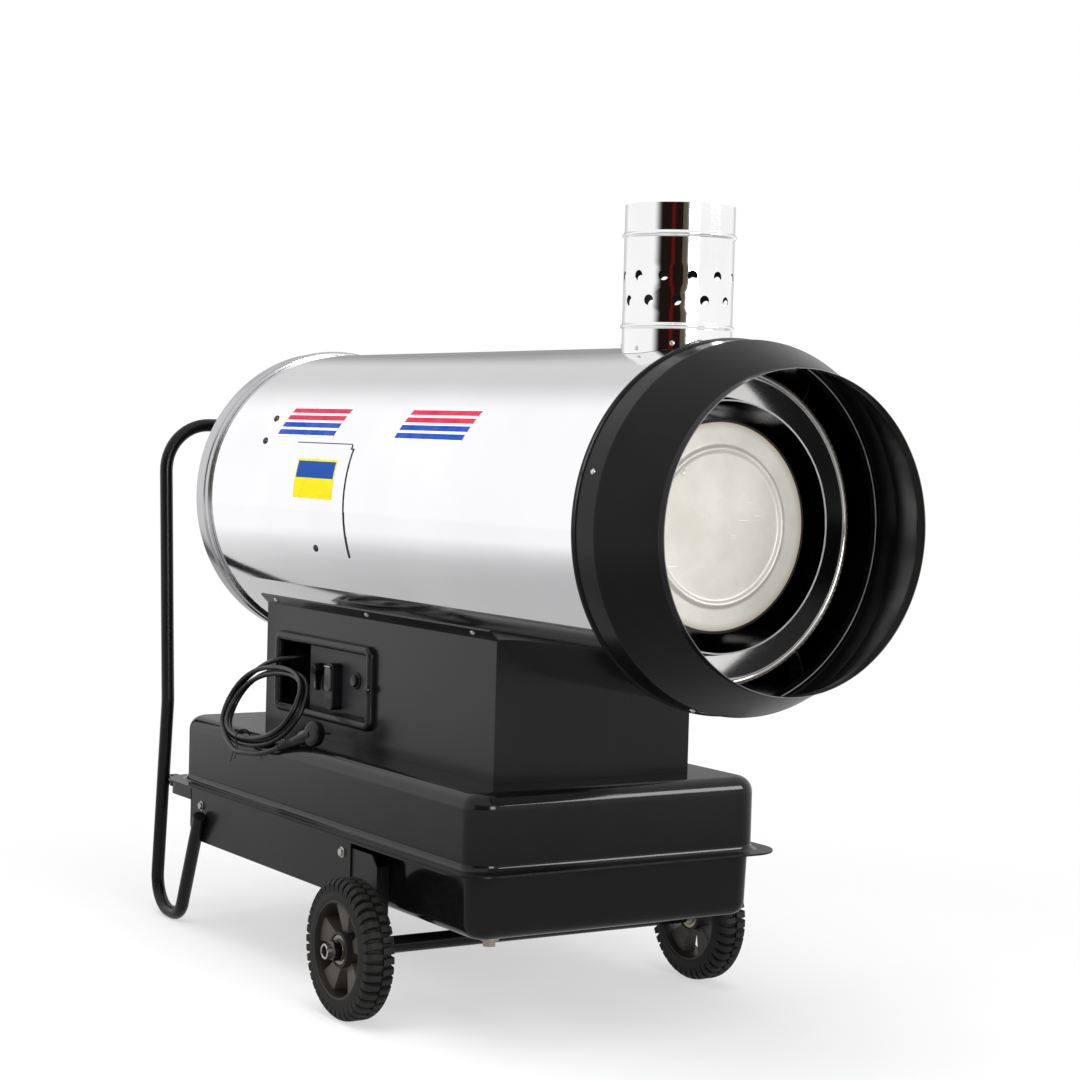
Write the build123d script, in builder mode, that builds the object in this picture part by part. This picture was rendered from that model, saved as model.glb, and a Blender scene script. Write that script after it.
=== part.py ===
from build123d import *
from math import acos, asin, cos, degrees, pi, radians, sin, sqrt, tan
import os

os.makedirs("parts", exist_ok=True)

# Indirect-fired diesel heater: a drum with a flue on top stands on a box and a wheeled tank.
# Millimetres, X towards the outlet, Y away from the control side, Z up from the floor.

# Heights, from the floor up
tank_bottom = 148
tank_lower_depth = 95
tank_upper_depth = 109
box_drop = 375  # tank top to drum axis
axis_height = tank_bottom + tank_lower_depth + tank_upper_depth + box_drop
seam_height = tank_bottom + tank_lower_depth
plateau = seam_height + tank_upper_depth

# Drum
drum_radius = 240
drum_length = 1172
shell_wall = 1.2
seam_angle = 33.3  # of the black lower shell, below the horizontal
fit_gap = 0.3

# Outlet cone
cone_band_radius = 247
cone_wall = 1.2
cone_lip_radius = 250
cone_overlap = 6  # lip behind the drum's front edge
cone_lip_width = 5
cone_sides = 48
cone_band_reach = 44
cone_taper_reach = 128
cone_reach = 143
outlet_radius = 210
hoop_turn = 3
hoop_thickness = 2
hoop_sides = 60

# Handle tube
tube_radius = 11
handle_setback = 131  # crossbar's back, behind the drum's rear edge
handle_spread = 250
handle_height = 842

rear_x = (handle_setback - drum_length - cone_reach) / 2
front_x = rear_x + drum_length
drum_axis = Axis((0, 0, axis_height), (1, 0, 0))
drum_section = Plane(origin=(rear_x, 0, axis_height), x_dir=(0, 1, 0), z_dir=(1, 0, 0))
drum_profile = Plane(origin=(rear_x, 0, axis_height), x_dir=(1, 0, 0), z_dir=(0, -1, 0))

# Rear trim ring and intake guard
trim_radius = 245
trim_length = 45
trim_bead_start = 26
trim_bead_height = 2
trim_turn = 8
guard_bar = 4
guard_rings = 3
guard_spokes = 6
guard_sides = 12
guard_hub_radius = 45

# Access panel on the control side
panel_start = 322
panel_length = 201
panel_low = -18.8
panel_high = 22.5
panel_margin = 12
panel_notch = 7

# Flue
flue_setback = 139
flue_x = front_x - flue_setback
flue_radius = 75
flue_wall = 0.8
flue_top = 430  # above the drum axis
flue_beads = (266, 389)
flue_bead_height = 3
flue_hole_radius = 7.3
flue_hole_sides = 4
flue_hole_rows = (300, 333)
flue_hole_turns = (-7, -21)
flue_hole_count = 12
collar_wall = 1.5
collar_top = 285
collar_depth = 25
collar_sides = 24
collar_radius = flue_radius - flue_wall - fit_gap

# Heat exchanger, an annular box around the combustion chamber
exchanger_radius = 209
exchanger_inner_radius = 169
exchanger_wall = 1.5
exchanger_start = 600
exchanger_end = 1151
inner_end = 1159
front_plate_at = 1144
rim_bead_height = 3

# Combustion chamber
chamber_radius = 139.5
chamber_wall = 1.5
chamber_start = 520
chamber_end = 1140
disc_thickness = 2
disc_bead_inner = 97
disc_bead_outer = 111
disc_bead_height = 4
duct_at = 690
duct_length = 120
duct_width = 50
duct_turns = (30, 150, 270)
spacer_stations = (680, 1080)
spacer_width = 30
spacer_thickness = 2

# Fan and its motor
fan_at = 40
fan_depth = 44
fan_radius = 222
fan_blades = 6
fan_hub_radius = 52
shaft_radius = 8
running_gap = 0.05
motor_at = 112
motor_length = 150
motor_radius = 72
motor_nose = 18
casing_sides = 12
bracket_width = 150
bracket_wall = 3

# Burner
burner_at = 405
burner_radius = 92
burner_width = 84
burner_wall = 2
blast_radius = 52
blast_wall = 2
blast_end = 620
line_radius = 7
flame_slots = 3
burner_motor_length = 92
burner_motor_radius = 46
burner_shaft_radius = 6
wheel_blades = 8
blower_radius = 74
pump_size = 58
pump_depth = 46

# Control box
box_start = 124
box_length = 733
box_width = 334
box_wall = 1.5
box_flange = 18

# Control panel, in the box side
bezel_start = 170
bezel_length = 330
bezel_low = -346
bezel_high = -215
bezel_frame = 15
bezel_proud = 10
bezel_corner = 16
recess_wall = 2.5
plate_depth = 14
plate_start = 254
plate_wall = 2
pocket_depth = 72
knob_at = 296
knob_height = -268
knob_radius = 10
knob_length = 15
knob_pointer = 36
socket_at = 356
socket_low = -327
socket_tall = 74
socket_width = 26
socket_depth = 18
cover_tall = 40
cover_wall = 3
hinge_radius = 1.5
button_at = 417
button_height = -275
button_radius = 9
button_travel = 3
button_height_proud = 5
unit_depth = 46

# Power cord, its hank and plug
cord_radius = 4
cord_sides = 6
gland_height = -254
gland_radius = 8
gland_nut = 12
gland_length = 35
gland_taper = 2
hank_at = 231
hank_side = -221.5
hank_height = -331
hank_tilt = 29.05
hank_roll = 4
hank_length = 232
hank_width = 132
hank_radius = 10.5
hank_sides = 12
plug_radius = 19.5
plug_depth = 22
sleeve_radius = 6.5
pin_radius = 2.4
pin_length = 19
pin_spacing = 19

# Tank
tank_start = -42
tank_length = 983
tank_width = 487
tank_corner = 38
tank_edge = 24
tank_wall = 1.5
lip_side = 31
lip_end = 24
lip_corner = 55
lip_wall = 1.5
lower_inset = 5
lower_edge = 18
lower_taper = 1.5
lower_lean = 3
drain_inset = 36  # from the tank's front end
drain_at = tank_start + tank_length - drain_inset
drain_side = -196
filler_at = 45
filler_side = 120
neck_radius = 24
neck_height = 16
neck_wall = 2
cap_radius = 30
cap_height = 24
gauge_side = 20
gauge_radius = 22
drain_radius = 9
cap_sides = 16
gauge_height = 10
gauge_stem = 8
gauge_reach = 130
pickup_at = 560
pickup_side = 70
pickup_radius = 5
pickup_reach = 180
hose_radius = 4
hose_spread = 8

# Running gear
wheel_radius = 102
wheel_width = 46
wheel_track = 612
tread_half = 10
tyre_sides = 36
rim_radius = 71
rim_wall = 5
rim_web = 7
rim_spokes = 5
spoke_width = 44
hub_radius = 26
wheel_gap = 0.08
axle_at = 703
axle_radius = 11
axle_wall = 3
axle_overhang = 18
beam_size = 26
plate_start_x = 45
plate_end_x = 618
plate_tall = 86
side_wall = 2.5
tongue_tall = 21
bracket_front = 696
bracket_length = 121
bracket_tall = 115
bracket_flange = 20
leg_bolt_x = 72
leg_bolt_drop = 27
leg_top_x = 88
leg_top_height = 369  # of the handle's rear bend, above the floor
leg_foot_x = 122
leg_toe_x = 19
crossmember_depth = 22
beam_half = 279
tube_sides = 8
leg_lean = 0.095
plate_flange = 22
bracket_bolt_x = 587
leg_bend_radius = 55
grip_radius = 80

# Fasteners
bolt_head = 6.5
bolt_head_height = 5


def curved_strip(inner, outer, low, high):
    with BuildSketch() as strip:
        with BuildLine():
            near = CenterArc((0, 0), inner, low, high - low)
            far = CenterArc((0, 0), outer, low, high - low)
            Line(near @ 0, far @ 0)
            Line(near @ 1, far @ 1)
        make_face()
    return strip.sketch


def ring_profile(points):
    with BuildSketch() as ring:
        with BuildLine():
            Polyline(*points, close=True)
        make_face()
    return ring.sketch


# Drum: polished upper shell with the flue hole and the access opening
with BuildPart() as drum_upper_shell:
    with BuildSketch(drum_section):
        add(curved_strip(drum_radius - shell_wall, drum_radius, -seam_angle, 180 + seam_angle))
    extrude(amount=drum_length)
    with Locations((flue_x, 0, axis_height + drum_radius)):
        Cylinder(collar_radius + fit_gap / 2, drum_radius / 2, mode=Mode.SUBTRACT)
    opening_low = drum_radius * sin(radians(panel_low)) + panel_margin
    opening_high = drum_radius * sin(radians(panel_high)) - panel_margin
    opening_middle = (
        rear_x + panel_start + panel_length / 2, axis_height + (opening_low + opening_high) / 2
    )
    with BuildSketch(Plane.XZ.offset(drum_radius / 2)):
        with Locations(opening_middle):
            RectangleRounded(
                panel_length - 2 * panel_margin, opening_high - opening_low, 2 * panel_notch
            )
    extrude(amount=drum_radius, mode=Mode.SUBTRACT)
drum_upper_shell.part.label = "drum_upper_shell"
export_step(drum_upper_shell.part, "parts/drum_upper_shell.step")

# Painted lower shell, with the hole for fuel hoses and wires
hose_hole_at = 508
hose_hole_side = 25
hose_hole_radius = 24
with BuildPart() as drum_lower_shell:
    with BuildSketch(drum_section):
        add(curved_strip(drum_radius - shell_wall, drum_radius, 180 + seam_angle, 360 - seam_angle))
    extrude(amount=drum_length)
    with Locations((rear_x + hose_hole_at, hose_hole_side, axis_height - drum_radius)):
        Cylinder(hose_hole_radius, drum_radius / 2, mode=Mode.SUBTRACT)
drum_lower_shell.part.label = "drum_lower_shell"
export_step(drum_lower_shell.part, "parts/drum_lower_shell.step")

# Rear trim ring: a band with a raised bead
with BuildPart() as rear_trim_ring:
    with BuildSketch(drum_profile):
        add(
            ring_profile(
                [
                    (0, drum_radius),
                    (0, trim_radius),
                    (trim_bead_start, trim_radius),
                    (trim_bead_start + 4, trim_radius + trim_bead_height),
                    (trim_length, drum_radius),
                ]
            )
        )
    revolve(axis=drum_axis)
rear_trim_ring.part.label = "rear_trim_ring"
export_step(rear_trim_ring.part, "parts/rear_trim_ring.step")

# Intake guard: concentric bars on radial spokes, seated behind the trim ring's turned edge
guard_radius = drum_radius - shell_wall - fit_gap
guard_step = (guard_radius - guard_hub_radius) / guard_rings
with BuildPart() as intake_guard:
    with BuildSketch(drum_section):
        RegularPolygon(guard_radius, 3 * guard_sides)
        RegularPolygon(guard_radius - trim_turn, 3 * guard_sides, mode=Mode.SUBTRACT)
        for ring in range(guard_rings - 1, 0, -1):
            RegularPolygon(guard_hub_radius + ring * guard_step + guard_bar, guard_sides)
            RegularPolygon(guard_hub_radius + ring * guard_step, guard_sides, mode=Mode.SUBTRACT)
        RegularPolygon(guard_hub_radius, guard_sides)
        with PolarLocations((guard_radius + guard_hub_radius - guard_bar) / 2, guard_spokes):
            Rectangle(guard_radius - guard_hub_radius, guard_bar)
    extrude(amount=guard_bar)
intake_guard.part.label = "intake_guard"
export_step(intake_guard.part, "parts/intake_guard.step")

# Front hoop on the drum's front edge, closes the gap to the outlet cone
with BuildPart() as front_hoop:
    with BuildSketch(drum_section.offset(drum_length)):
        RegularPolygon(cone_band_radius - cone_wall, hoop_sides)
        RegularPolygon(drum_radius - shell_wall - hoop_turn, hoop_sides, mode=Mode.SUBTRACT)
    extrude(amount=hoop_thickness)
front_hoop.part.label = "front_hoop"
export_step(front_hoop.part, "parts/front_hoop.step")

# Outlet cone: rear lip, screwed band, taper and front collar with a turned rim
cone_plane = drum_section.offset(drum_length - cone_overlap)


def cone_body(mouth_radius, band_radius):
    with BuildPart() as body:
        with BuildSketch(cone_plane):
            RegularPolygon(band_radius, cone_sides, major_radius=False)
        extrude(amount=cone_overlap + cone_taper_reach)
        front = body.faces().sort_by(Axis.X)[-1]
        chamfer(
            front.edges(),
            band_radius - mouth_radius,
            cone_taper_reach - cone_band_reach,
            reference=front,
        )
    return body.part


with BuildPart() as outlet_cone:
    with BuildSketch(cone_plane):
        RegularPolygon(cone_lip_radius, cone_sides, major_radius=False)
    extrude(amount=cone_lip_width)
    add(cone_body(outlet_radius, cone_band_radius))
    with BuildSketch(cone_plane.offset(cone_overlap + cone_taper_reach)):
        Circle(outlet_radius)
    extrude(amount=cone_reach - cone_taper_reach)
    add(cone_body(outlet_radius - cone_wall, cone_band_radius - cone_wall), mode=Mode.SUBTRACT)
    with BuildSketch(cone_plane):
        Circle(outlet_radius - cone_wall)
    extrude(amount=cone_overlap + cone_reach, mode=Mode.SUBTRACT)
outlet_cone.part.label = "outlet_cone"
export_step(outlet_cone.part, "parts/outlet_cone.step")

# Access panel, a curved cover with notched top corners
with BuildPart() as access_panel:
    with BuildSketch(drum_section.offset(panel_start)):
        add(curved_strip(drum_radius, drum_radius + shell_wall, 180 - panel_high, 180 - panel_low))
    extrude(amount=panel_length)
    with Locations(
        (rear_x + panel_start, -drum_radius, axis_height + drum_radius * sin(radians(panel_high))),
        (
            rear_x + panel_start + panel_length,
            -drum_radius,
            axis_height + drum_radius * sin(radians(panel_high)),
        ),
    ):
        Box(2 * panel_notch, drum_radius / 2, 2 * panel_notch, mode=Mode.SUBTRACT)
access_panel.part.label = "access_panel"
export_step(access_panel.part, "parts/access_panel.step")

# Flue collar rising from the exchanger through the drum
with BuildPart() as flue_collar:
    with BuildSketch(Plane.XY.offset(axis_height + exchanger_radius - collar_depth)):
        with Locations((flue_x, 0)):
            RegularPolygon(collar_radius, collar_sides)
            RegularPolygon(collar_radius - collar_wall, collar_sides, mode=Mode.SUBTRACT)
    extrude(amount=collar_top - exchanger_radius + collar_depth)
flue_collar.part.label = "flue_collar"
export_step(flue_collar.part, "parts/flue_collar.step")

# Flue pipe: two raised beads, two staggered rows of air holes, foot cut to the drum
flue_profile = Plane(origin=(flue_x, 0, axis_height), x_dir=(1, 0, 0), z_dir=(0, -1, 0))
with BuildPart() as flue_pipe:
    with BuildSketch(flue_profile):
        add(
            ring_profile(
                [
                    (flue_radius - flue_wall, drum_radius / 2),
                    (flue_radius, drum_radius / 2),
                    (flue_radius, flue_beads[0] - flue_bead_height),
                    (flue_radius + flue_bead_height, flue_beads[0]),
                    (flue_radius, flue_beads[0] + flue_bead_height),
                    (flue_radius, flue_beads[1] - flue_bead_height),
                    (flue_radius + flue_bead_height, flue_beads[1]),
                    (flue_radius, flue_beads[1] + flue_bead_height),
                    (flue_radius, flue_top),
                    (flue_radius - flue_wall, flue_top),
                ]
            )
        )
    revolve(axis=Axis((flue_x, 0, 0), (0, 0, 1)))
    with BuildSketch(drum_section.offset(flue_x - rear_x - 2 * flue_radius)):
        Circle(drum_radius)
    extrude(amount=4 * flue_radius, mode=Mode.SUBTRACT)
    for hole_height, first_turn in zip(flue_hole_rows, flue_hole_turns):
        for hole in range(flue_hole_count):
            turn = first_turn + hole * 360 / flue_hole_count
            side = Plane(
                origin=(flue_x, 0, axis_height + hole_height),
                x_dir=(0, 0, 1),
                z_dir=(cos(radians(turn)), sin(radians(turn)), 0),
            )
            with BuildSketch(side):
                RegularPolygon(flue_hole_radius, flue_hole_sides)
            extrude(amount=2 * flue_radius, mode=Mode.SUBTRACT)
flue_pipe.part.label = "flue_pipe"
export_step(flue_pipe.part, "parts/flue_pipe.step")

# Heat exchanger, welded up: outer shell with rolled front rim, end plates, inner cylinder's edge
with BuildPart() as heat_exchanger:
    with BuildSketch(drum_profile):
        add(
            ring_profile(
                [
                    (exchanger_start, exchanger_inner_radius - exchanger_wall),
                    (exchanger_start, exchanger_radius),
                    (exchanger_end - 2 * rim_bead_height, exchanger_radius),
                    (exchanger_end - rim_bead_height, exchanger_radius + rim_bead_height),
                    (exchanger_end, exchanger_radius),
                    (front_plate_at, exchanger_radius - exchanger_wall),
                    (front_plate_at, exchanger_inner_radius),
                    (inner_end, exchanger_inner_radius),
                    (inner_end, exchanger_inner_radius - exchanger_wall),
                ]
            )
        )
    revolve(axis=drum_axis)
    with Locations((flue_x, 0, axis_height + exchanger_radius)):
        Cylinder(collar_radius, 2 * collar_depth, mode=Mode.SUBTRACT)
heat_exchanger.part.label = "heat_exchanger"
export_step(heat_exchanger.part, "parts/heat_exchanger.step")

# Combustion chamber, with the burner's port in its rear wall
with BuildPart() as combustion_chamber:
    with BuildSketch(drum_profile):
        add(
            ring_profile(
                [
                    (chamber_start, blast_radius + fit_gap),
                    (chamber_start, chamber_radius),
                    (chamber_end, chamber_radius),
                    (chamber_end, 0),
                    (blast_end + chamber_wall, 0),
                    (blast_end + chamber_wall, blast_radius + fit_gap),
                ]
            )
        )
    revolve(axis=drum_axis)
combustion_chamber.part.label = "combustion_chamber"
export_step(combustion_chamber.part, "parts/combustion_chamber.step")

# End disc with its raised round bead
with BuildPart() as chamber_end_disc:
    with BuildSketch(drum_profile):
        add(
            ring_profile(
                [
                    (chamber_end, 0),
                    (chamber_end + disc_thickness, 0),
                    (chamber_end + disc_thickness, disc_bead_inner),
                    (
                        chamber_end + disc_thickness + disc_bead_height,
                        (disc_bead_inner + disc_bead_outer) / 2,
                    ),
                    (chamber_end + disc_thickness, disc_bead_outer),
                    (chamber_end + disc_thickness, chamber_radius),
                    (chamber_end, chamber_radius),
                ]
            )
        )
    revolve(axis=drum_axis)
chamber_end_disc.part.label = "chamber_end_disc"
export_step(chamber_end_disc.part, "parts/chamber_end_disc.step")

# Gas ducts between chamber and exchanger, which also carry the chamber
with BuildPart() as gas_ducts:
    for turn in duct_turns:
        spoke = Plane(
            origin=(rear_x + duct_at, 0, axis_height),
            x_dir=(1, 0, 0),
            z_dir=(0, cos(radians(turn)), sin(radians(turn))),
        )
        with BuildSketch(spoke.offset(chamber_radius - fit_gap)):
            Rectangle(duct_length, duct_width)
        extrude(amount=exchanger_inner_radius - chamber_radius)
    with BuildSketch(drum_section.offset(duct_at - duct_length)):
        Circle(exchanger_radius)
        Circle(exchanger_inner_radius - exchanger_wall, mode=Mode.SUBTRACT)
    extrude(amount=2 * duct_length, mode=Mode.SUBTRACT)
    with BuildSketch(drum_section.offset(duct_at - duct_length)):
        Circle(chamber_radius + running_gap)
    extrude(amount=2 * duct_length, mode=Mode.SUBTRACT)
gas_ducts.part.label = "gas_ducts"
export_step(gas_ducts.part, "parts/gas_ducts.step")

# Spacers between exchanger and drum, four at each of two stations
with BuildPart() as exchanger_spacers:
    for station in spacer_stations:
        for turn in (45, 135, 225, 315):
            spoke = Plane(
                origin=(rear_x + station, 0, axis_height),
                x_dir=(1, 0, 0),
                z_dir=(0, cos(radians(turn)), sin(radians(turn))),
            )
            with BuildSketch(spoke.offset(exchanger_radius)):
                Rectangle(spacer_width, spacer_thickness)
            extrude(amount=drum_radius - shell_wall - exchanger_radius - 0.02)
exchanger_spacers.part.label = "exchanger_spacers"
export_step(exchanger_spacers.part, "parts/exchanger_spacers.step")

# Fan motor, a flat-sided casing with a nose in front
motor_end = motor_at + motor_length
with BuildPart() as fan_motor:
    with BuildSketch(drum_section.offset(motor_at)):
        RegularPolygon(motor_radius, casing_sides)
    extrude(amount=motor_length)
    chamfer(fan_motor.faces().sort_by(Axis.X)[0].edges(), motor_nose)
    with BuildSketch(drum_section.offset(motor_at)):
        RegularPolygon(shaft_radius + running_gap, casing_sides, major_radius=False)
    extrude(amount=motor_length, mode=Mode.SUBTRACT)
fan_motor.part.label = "fan_motor"
export_step(fan_motor.part, "parts/fan_motor.step")

# Motor bracket: a cradle plate on a foot curved to the drum's lower shell
cradle_start = motor_at + motor_nose + 20
cradle_end = motor_end - motor_nose - 20
with BuildPart() as motor_bracket:
    with BuildSketch(drum_section.offset(cradle_start)):
        with Locations((0, -drum_radius / 2)):
            Rectangle(bracket_width, drum_radius)
        RegularPolygon(motor_radius, casing_sides, mode=Mode.SUBTRACT)
        with Locations((0, -drum_radius / 2 - motor_radius / 2)):
            Rectangle(bracket_width - 40, drum_radius - motor_radius - 60, mode=Mode.SUBTRACT)
        with BuildSketch(mode=Mode.PRIVATE) as drum_bore:
            Circle(drum_radius - shell_wall)
        add(drum_bore.sketch, mode=Mode.INTERSECT)
    extrude(amount=bracket_wall)
    with BuildSketch(drum_section.offset(cradle_start)):
        add(
            curved_strip(
                drum_radius - shell_wall - bracket_wall,
                drum_radius - shell_wall,
                270 - degrees(asin(bracket_width / 2 / drum_radius)),
                270 + degrees(asin(bracket_width / 2 / drum_radius)),
            )
        )
    extrude(amount=cradle_end - cradle_start)
    with BuildSketch(drum_section.offset(cradle_end - bracket_wall)):
        with Locations((0, -drum_radius / 2)):
            Rectangle(bracket_width, drum_radius)
        RegularPolygon(motor_radius, casing_sides, mode=Mode.SUBTRACT)
        with Locations((0, -drum_radius / 2 - motor_radius / 2)):
            Rectangle(bracket_width - 40, drum_radius - motor_radius - 60, mode=Mode.SUBTRACT)
        with BuildSketch(mode=Mode.PRIVATE) as drum_bore_back:
            Circle(drum_radius - shell_wall)
        add(drum_bore_back.sketch, mode=Mode.INTERSECT)
    extrude(amount=bracket_wall)
motor_bracket.part.label = "motor_bracket"
export_step(motor_bracket.part, "parts/motor_bracket.step")

# Axial fan: hub and pitched blades
fan_pitch = 28
blade_root = 46
blade_tip = 92
blade_wall = 2.5
with BuildPart() as axial_fan:
    with BuildSketch(drum_section.offset(fan_at)):
        RegularPolygon(fan_hub_radius, 2 * casing_sides)
    extrude(amount=fan_depth)
    for blade in range(fan_blades):
        turn = radians(blade * 360 / fan_blades)
        pitch = radians(fan_pitch)
        blade_plane = Plane(
            origin=(rear_x + fan_at + fan_depth / 2, 0, axis_height),
            x_dir=(0, cos(turn), sin(turn)),
            z_dir=(cos(pitch), -sin(turn) * sin(pitch), cos(turn) * sin(pitch)),
        )
        with BuildSketch(blade_plane):
            with BuildLine():
                Polyline(
                    (fan_hub_radius - 6, -blade_root / 2),
                    (fan_radius, -blade_tip / 2),
                    (fan_radius, blade_tip / 2),
                    (fan_hub_radius - 6, blade_root / 2),
                    close=True,
                )
            make_face()
        extrude(amount=blade_wall / 2, both=True)
    with BuildSketch(drum_section.offset(fan_at)):
        RegularPolygon(shaft_radius, casing_sides)
    extrude(amount=fan_depth, mode=Mode.SUBTRACT)
axial_fan.part.label = "axial_fan"
export_step(axial_fan.part, "parts/axial_fan.step")

# Motor shaft
with BuildPart() as motor_shaft:
    with BuildSketch(drum_section.offset(fan_at - 4)):
        RegularPolygon(shaft_radius, casing_sides)
    extrude(amount=motor_end + 8 - fan_at + 4)
motor_shaft.part.label = "motor_shaft"
export_step(motor_shaft.part, "parts/motor_shaft.step")

# Burner: volute housing with the blast tube spigot, wheel, motor, pump and nozzle
burner_x = rear_x + burner_at
burner_side = Plane(origin=(burner_x, burner_width / 2, axis_height), x_dir=(1, 0, 0), z_dir=(0, -1, 0))
flange_at = burner_radius + 14
with BuildPart() as burner_housing:
    with BuildSketch(burner_side):
        RegularPolygon(burner_radius, casing_sides)
        with Locations((flange_at / 2, 0)):
            Rectangle(flange_at, 2 * blast_radius + 20)
    extrude(amount=burner_width)
    with BuildSketch(burner_side.offset(burner_wall)):
        RegularPolygon(burner_radius - burner_wall, casing_sides)
    extrude(amount=burner_width - 2 * burner_wall, mode=Mode.SUBTRACT)
    with BuildSketch(burner_side):
        RegularPolygon(burner_motor_radius - 6, casing_sides)
    extrude(amount=burner_wall, mode=Mode.SUBTRACT)
    with BuildSketch(burner_side.offset(burner_width - burner_wall)):
        RegularPolygon(burner_shaft_radius + running_gap, casing_sides, major_radius=False)
    extrude(amount=burner_wall, mode=Mode.SUBTRACT)
    with BuildSketch(drum_section.offset(burner_at)):
        RegularPolygon(burner_width / 2 - 2 * burner_wall, casing_sides)
    extrude(amount=flange_at, mode=Mode.SUBTRACT)
burner_housing.part.label = "burner_housing"
export_step(burner_housing.part, "parts/burner_housing.step")

# Blast tube with its flange on the chamber's rear wall
with BuildPart() as blast_tube:
    with BuildSketch(drum_section.offset(burner_at + flange_at)):
        RegularPolygon(blast_radius, casing_sides)
        RegularPolygon(blast_radius - blast_wall, casing_sides, mode=Mode.SUBTRACT)
    extrude(amount=blast_end - burner_at - flange_at)
    with BuildSketch(drum_section.offset(chamber_start - 3)):
        RegularPolygon(blast_radius + 18, casing_sides)
        RegularPolygon(blast_radius - blast_wall, casing_sides, mode=Mode.SUBTRACT)
    extrude(amount=3)
blast_tube.part.label = "blast_tube"
export_step(blast_tube.part, "parts/blast_tube.step")

# Nozzle holder: fuel line, slotted flame disc and nozzle
disc_at = blast_end - 26
line_start = burner_at + burner_radius - burner_wall - 12
with BuildPart() as nozzle_holder:
    with BuildSketch(drum_section.offset(disc_at)):
        RegularPolygon(blast_radius - blast_wall, casing_sides)
        with PolarLocations((blast_radius + line_radius) / 2, flame_slots):
            Rectangle(blast_radius - 3 * line_radius, 4, mode=Mode.SUBTRACT)
    extrude(amount=2)
    with BuildSketch(drum_section.offset(line_start)):
        RegularPolygon(line_radius, 8)
    extrude(amount=blast_end - 12 - line_start)
nozzle_holder.part.label = "nozzle_holder"
export_step(nozzle_holder.part, "parts/nozzle_holder.step")

# Blower wheel with its blades and shaft stub
blower_gap = 3
with BuildPart() as blower_wheel:
    with BuildSketch(burner_side.offset(burner_wall + blower_gap)):
        RegularPolygon(blower_radius, casing_sides)
    extrude(amount=2)
    with BuildSketch(burner_side.offset(burner_wall + blower_gap + 2)):
        with PolarLocations(blower_radius - 12, wheel_blades):
            Rectangle(16, 1.5, rotation=30)
    extrude(amount=burner_width - 2 * burner_wall - 2 * blower_gap - 2)
    with BuildSketch(burner_side.offset(burner_wall + blower_gap - 24)):
        Circle(burner_shaft_radius)
    extrude(amount=burner_width + 24 + 12 - burner_wall - blower_gap)
blower_wheel.part.label = "blower_wheel"
export_step(blower_wheel.part, "parts/blower_wheel.step")

# Burner motor
with BuildPart() as burner_motor:
    with BuildSketch(burner_side):
        RegularPolygon(burner_motor_radius, casing_sides)
    extrude(amount=-burner_motor_length)
    with BuildSketch(burner_side):
        RegularPolygon(burner_shaft_radius + running_gap, casing_sides, major_radius=False)
    extrude(amount=-30, mode=Mode.SUBTRACT)
burner_motor.part.label = "burner_motor"
export_step(burner_motor.part, "parts/burner_motor.step")

# Fuel pump with its pressure screw and the solenoid coil on top
with BuildPart() as fuel_pump:
    with BuildSketch(burner_side.offset(burner_width)):
        Rectangle(pump_size, pump_size)
    extrude(amount=pump_depth)
    chamfer(fuel_pump.edges().filter_by(Axis.Y), 8)
    with BuildSketch(burner_side.offset(burner_width + pump_depth)):
        RegularPolygon(9, 6)
    extrude(amount=7)
    with BuildSketch(Plane.XY.offset(axis_height + pump_size / 2)):
        with Locations((burner_x, -burner_width / 2 - pump_depth / 2)):
            Rectangle(30, 34)
    extrude(amount=38)
    with BuildSketch(burner_side.offset(burner_width)):
        RegularPolygon(burner_shaft_radius + running_gap, casing_sides, major_radius=False)
    extrude(amount=14, mode=Mode.SUBTRACT)
fuel_pump.part.label = "fuel_pump"
export_step(fuel_pump.part, "parts/fuel_pump.step")

# Ignition transformer, screwed to the drum's inside behind the two side screws
transformer_at = 213
transformer_angle = 27.7
transformer_tall = 76
transformer_length = 84
transformer_depth = 52
inside = drum_radius - shell_wall
transformer_seat = sqrt(inside**2 - (transformer_tall / 2) ** 2) - fit_gap
transformer_plane = Plane(
    origin=(rear_x + transformer_at, 0, axis_height),
    x_dir=(1, 0, 0),
    z_dir=(0, -cos(radians(transformer_angle)), sin(radians(transformer_angle))),
)
with BuildPart() as ignition_transformer:
    with BuildSketch(transformer_plane.offset(transformer_seat)):
        Rectangle(transformer_length, transformer_tall)
    extrude(amount=-transformer_depth)
ignition_transformer.part.label = "ignition_transformer"
export_step(ignition_transformer.part, "parts/ignition_transformer.step")

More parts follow.
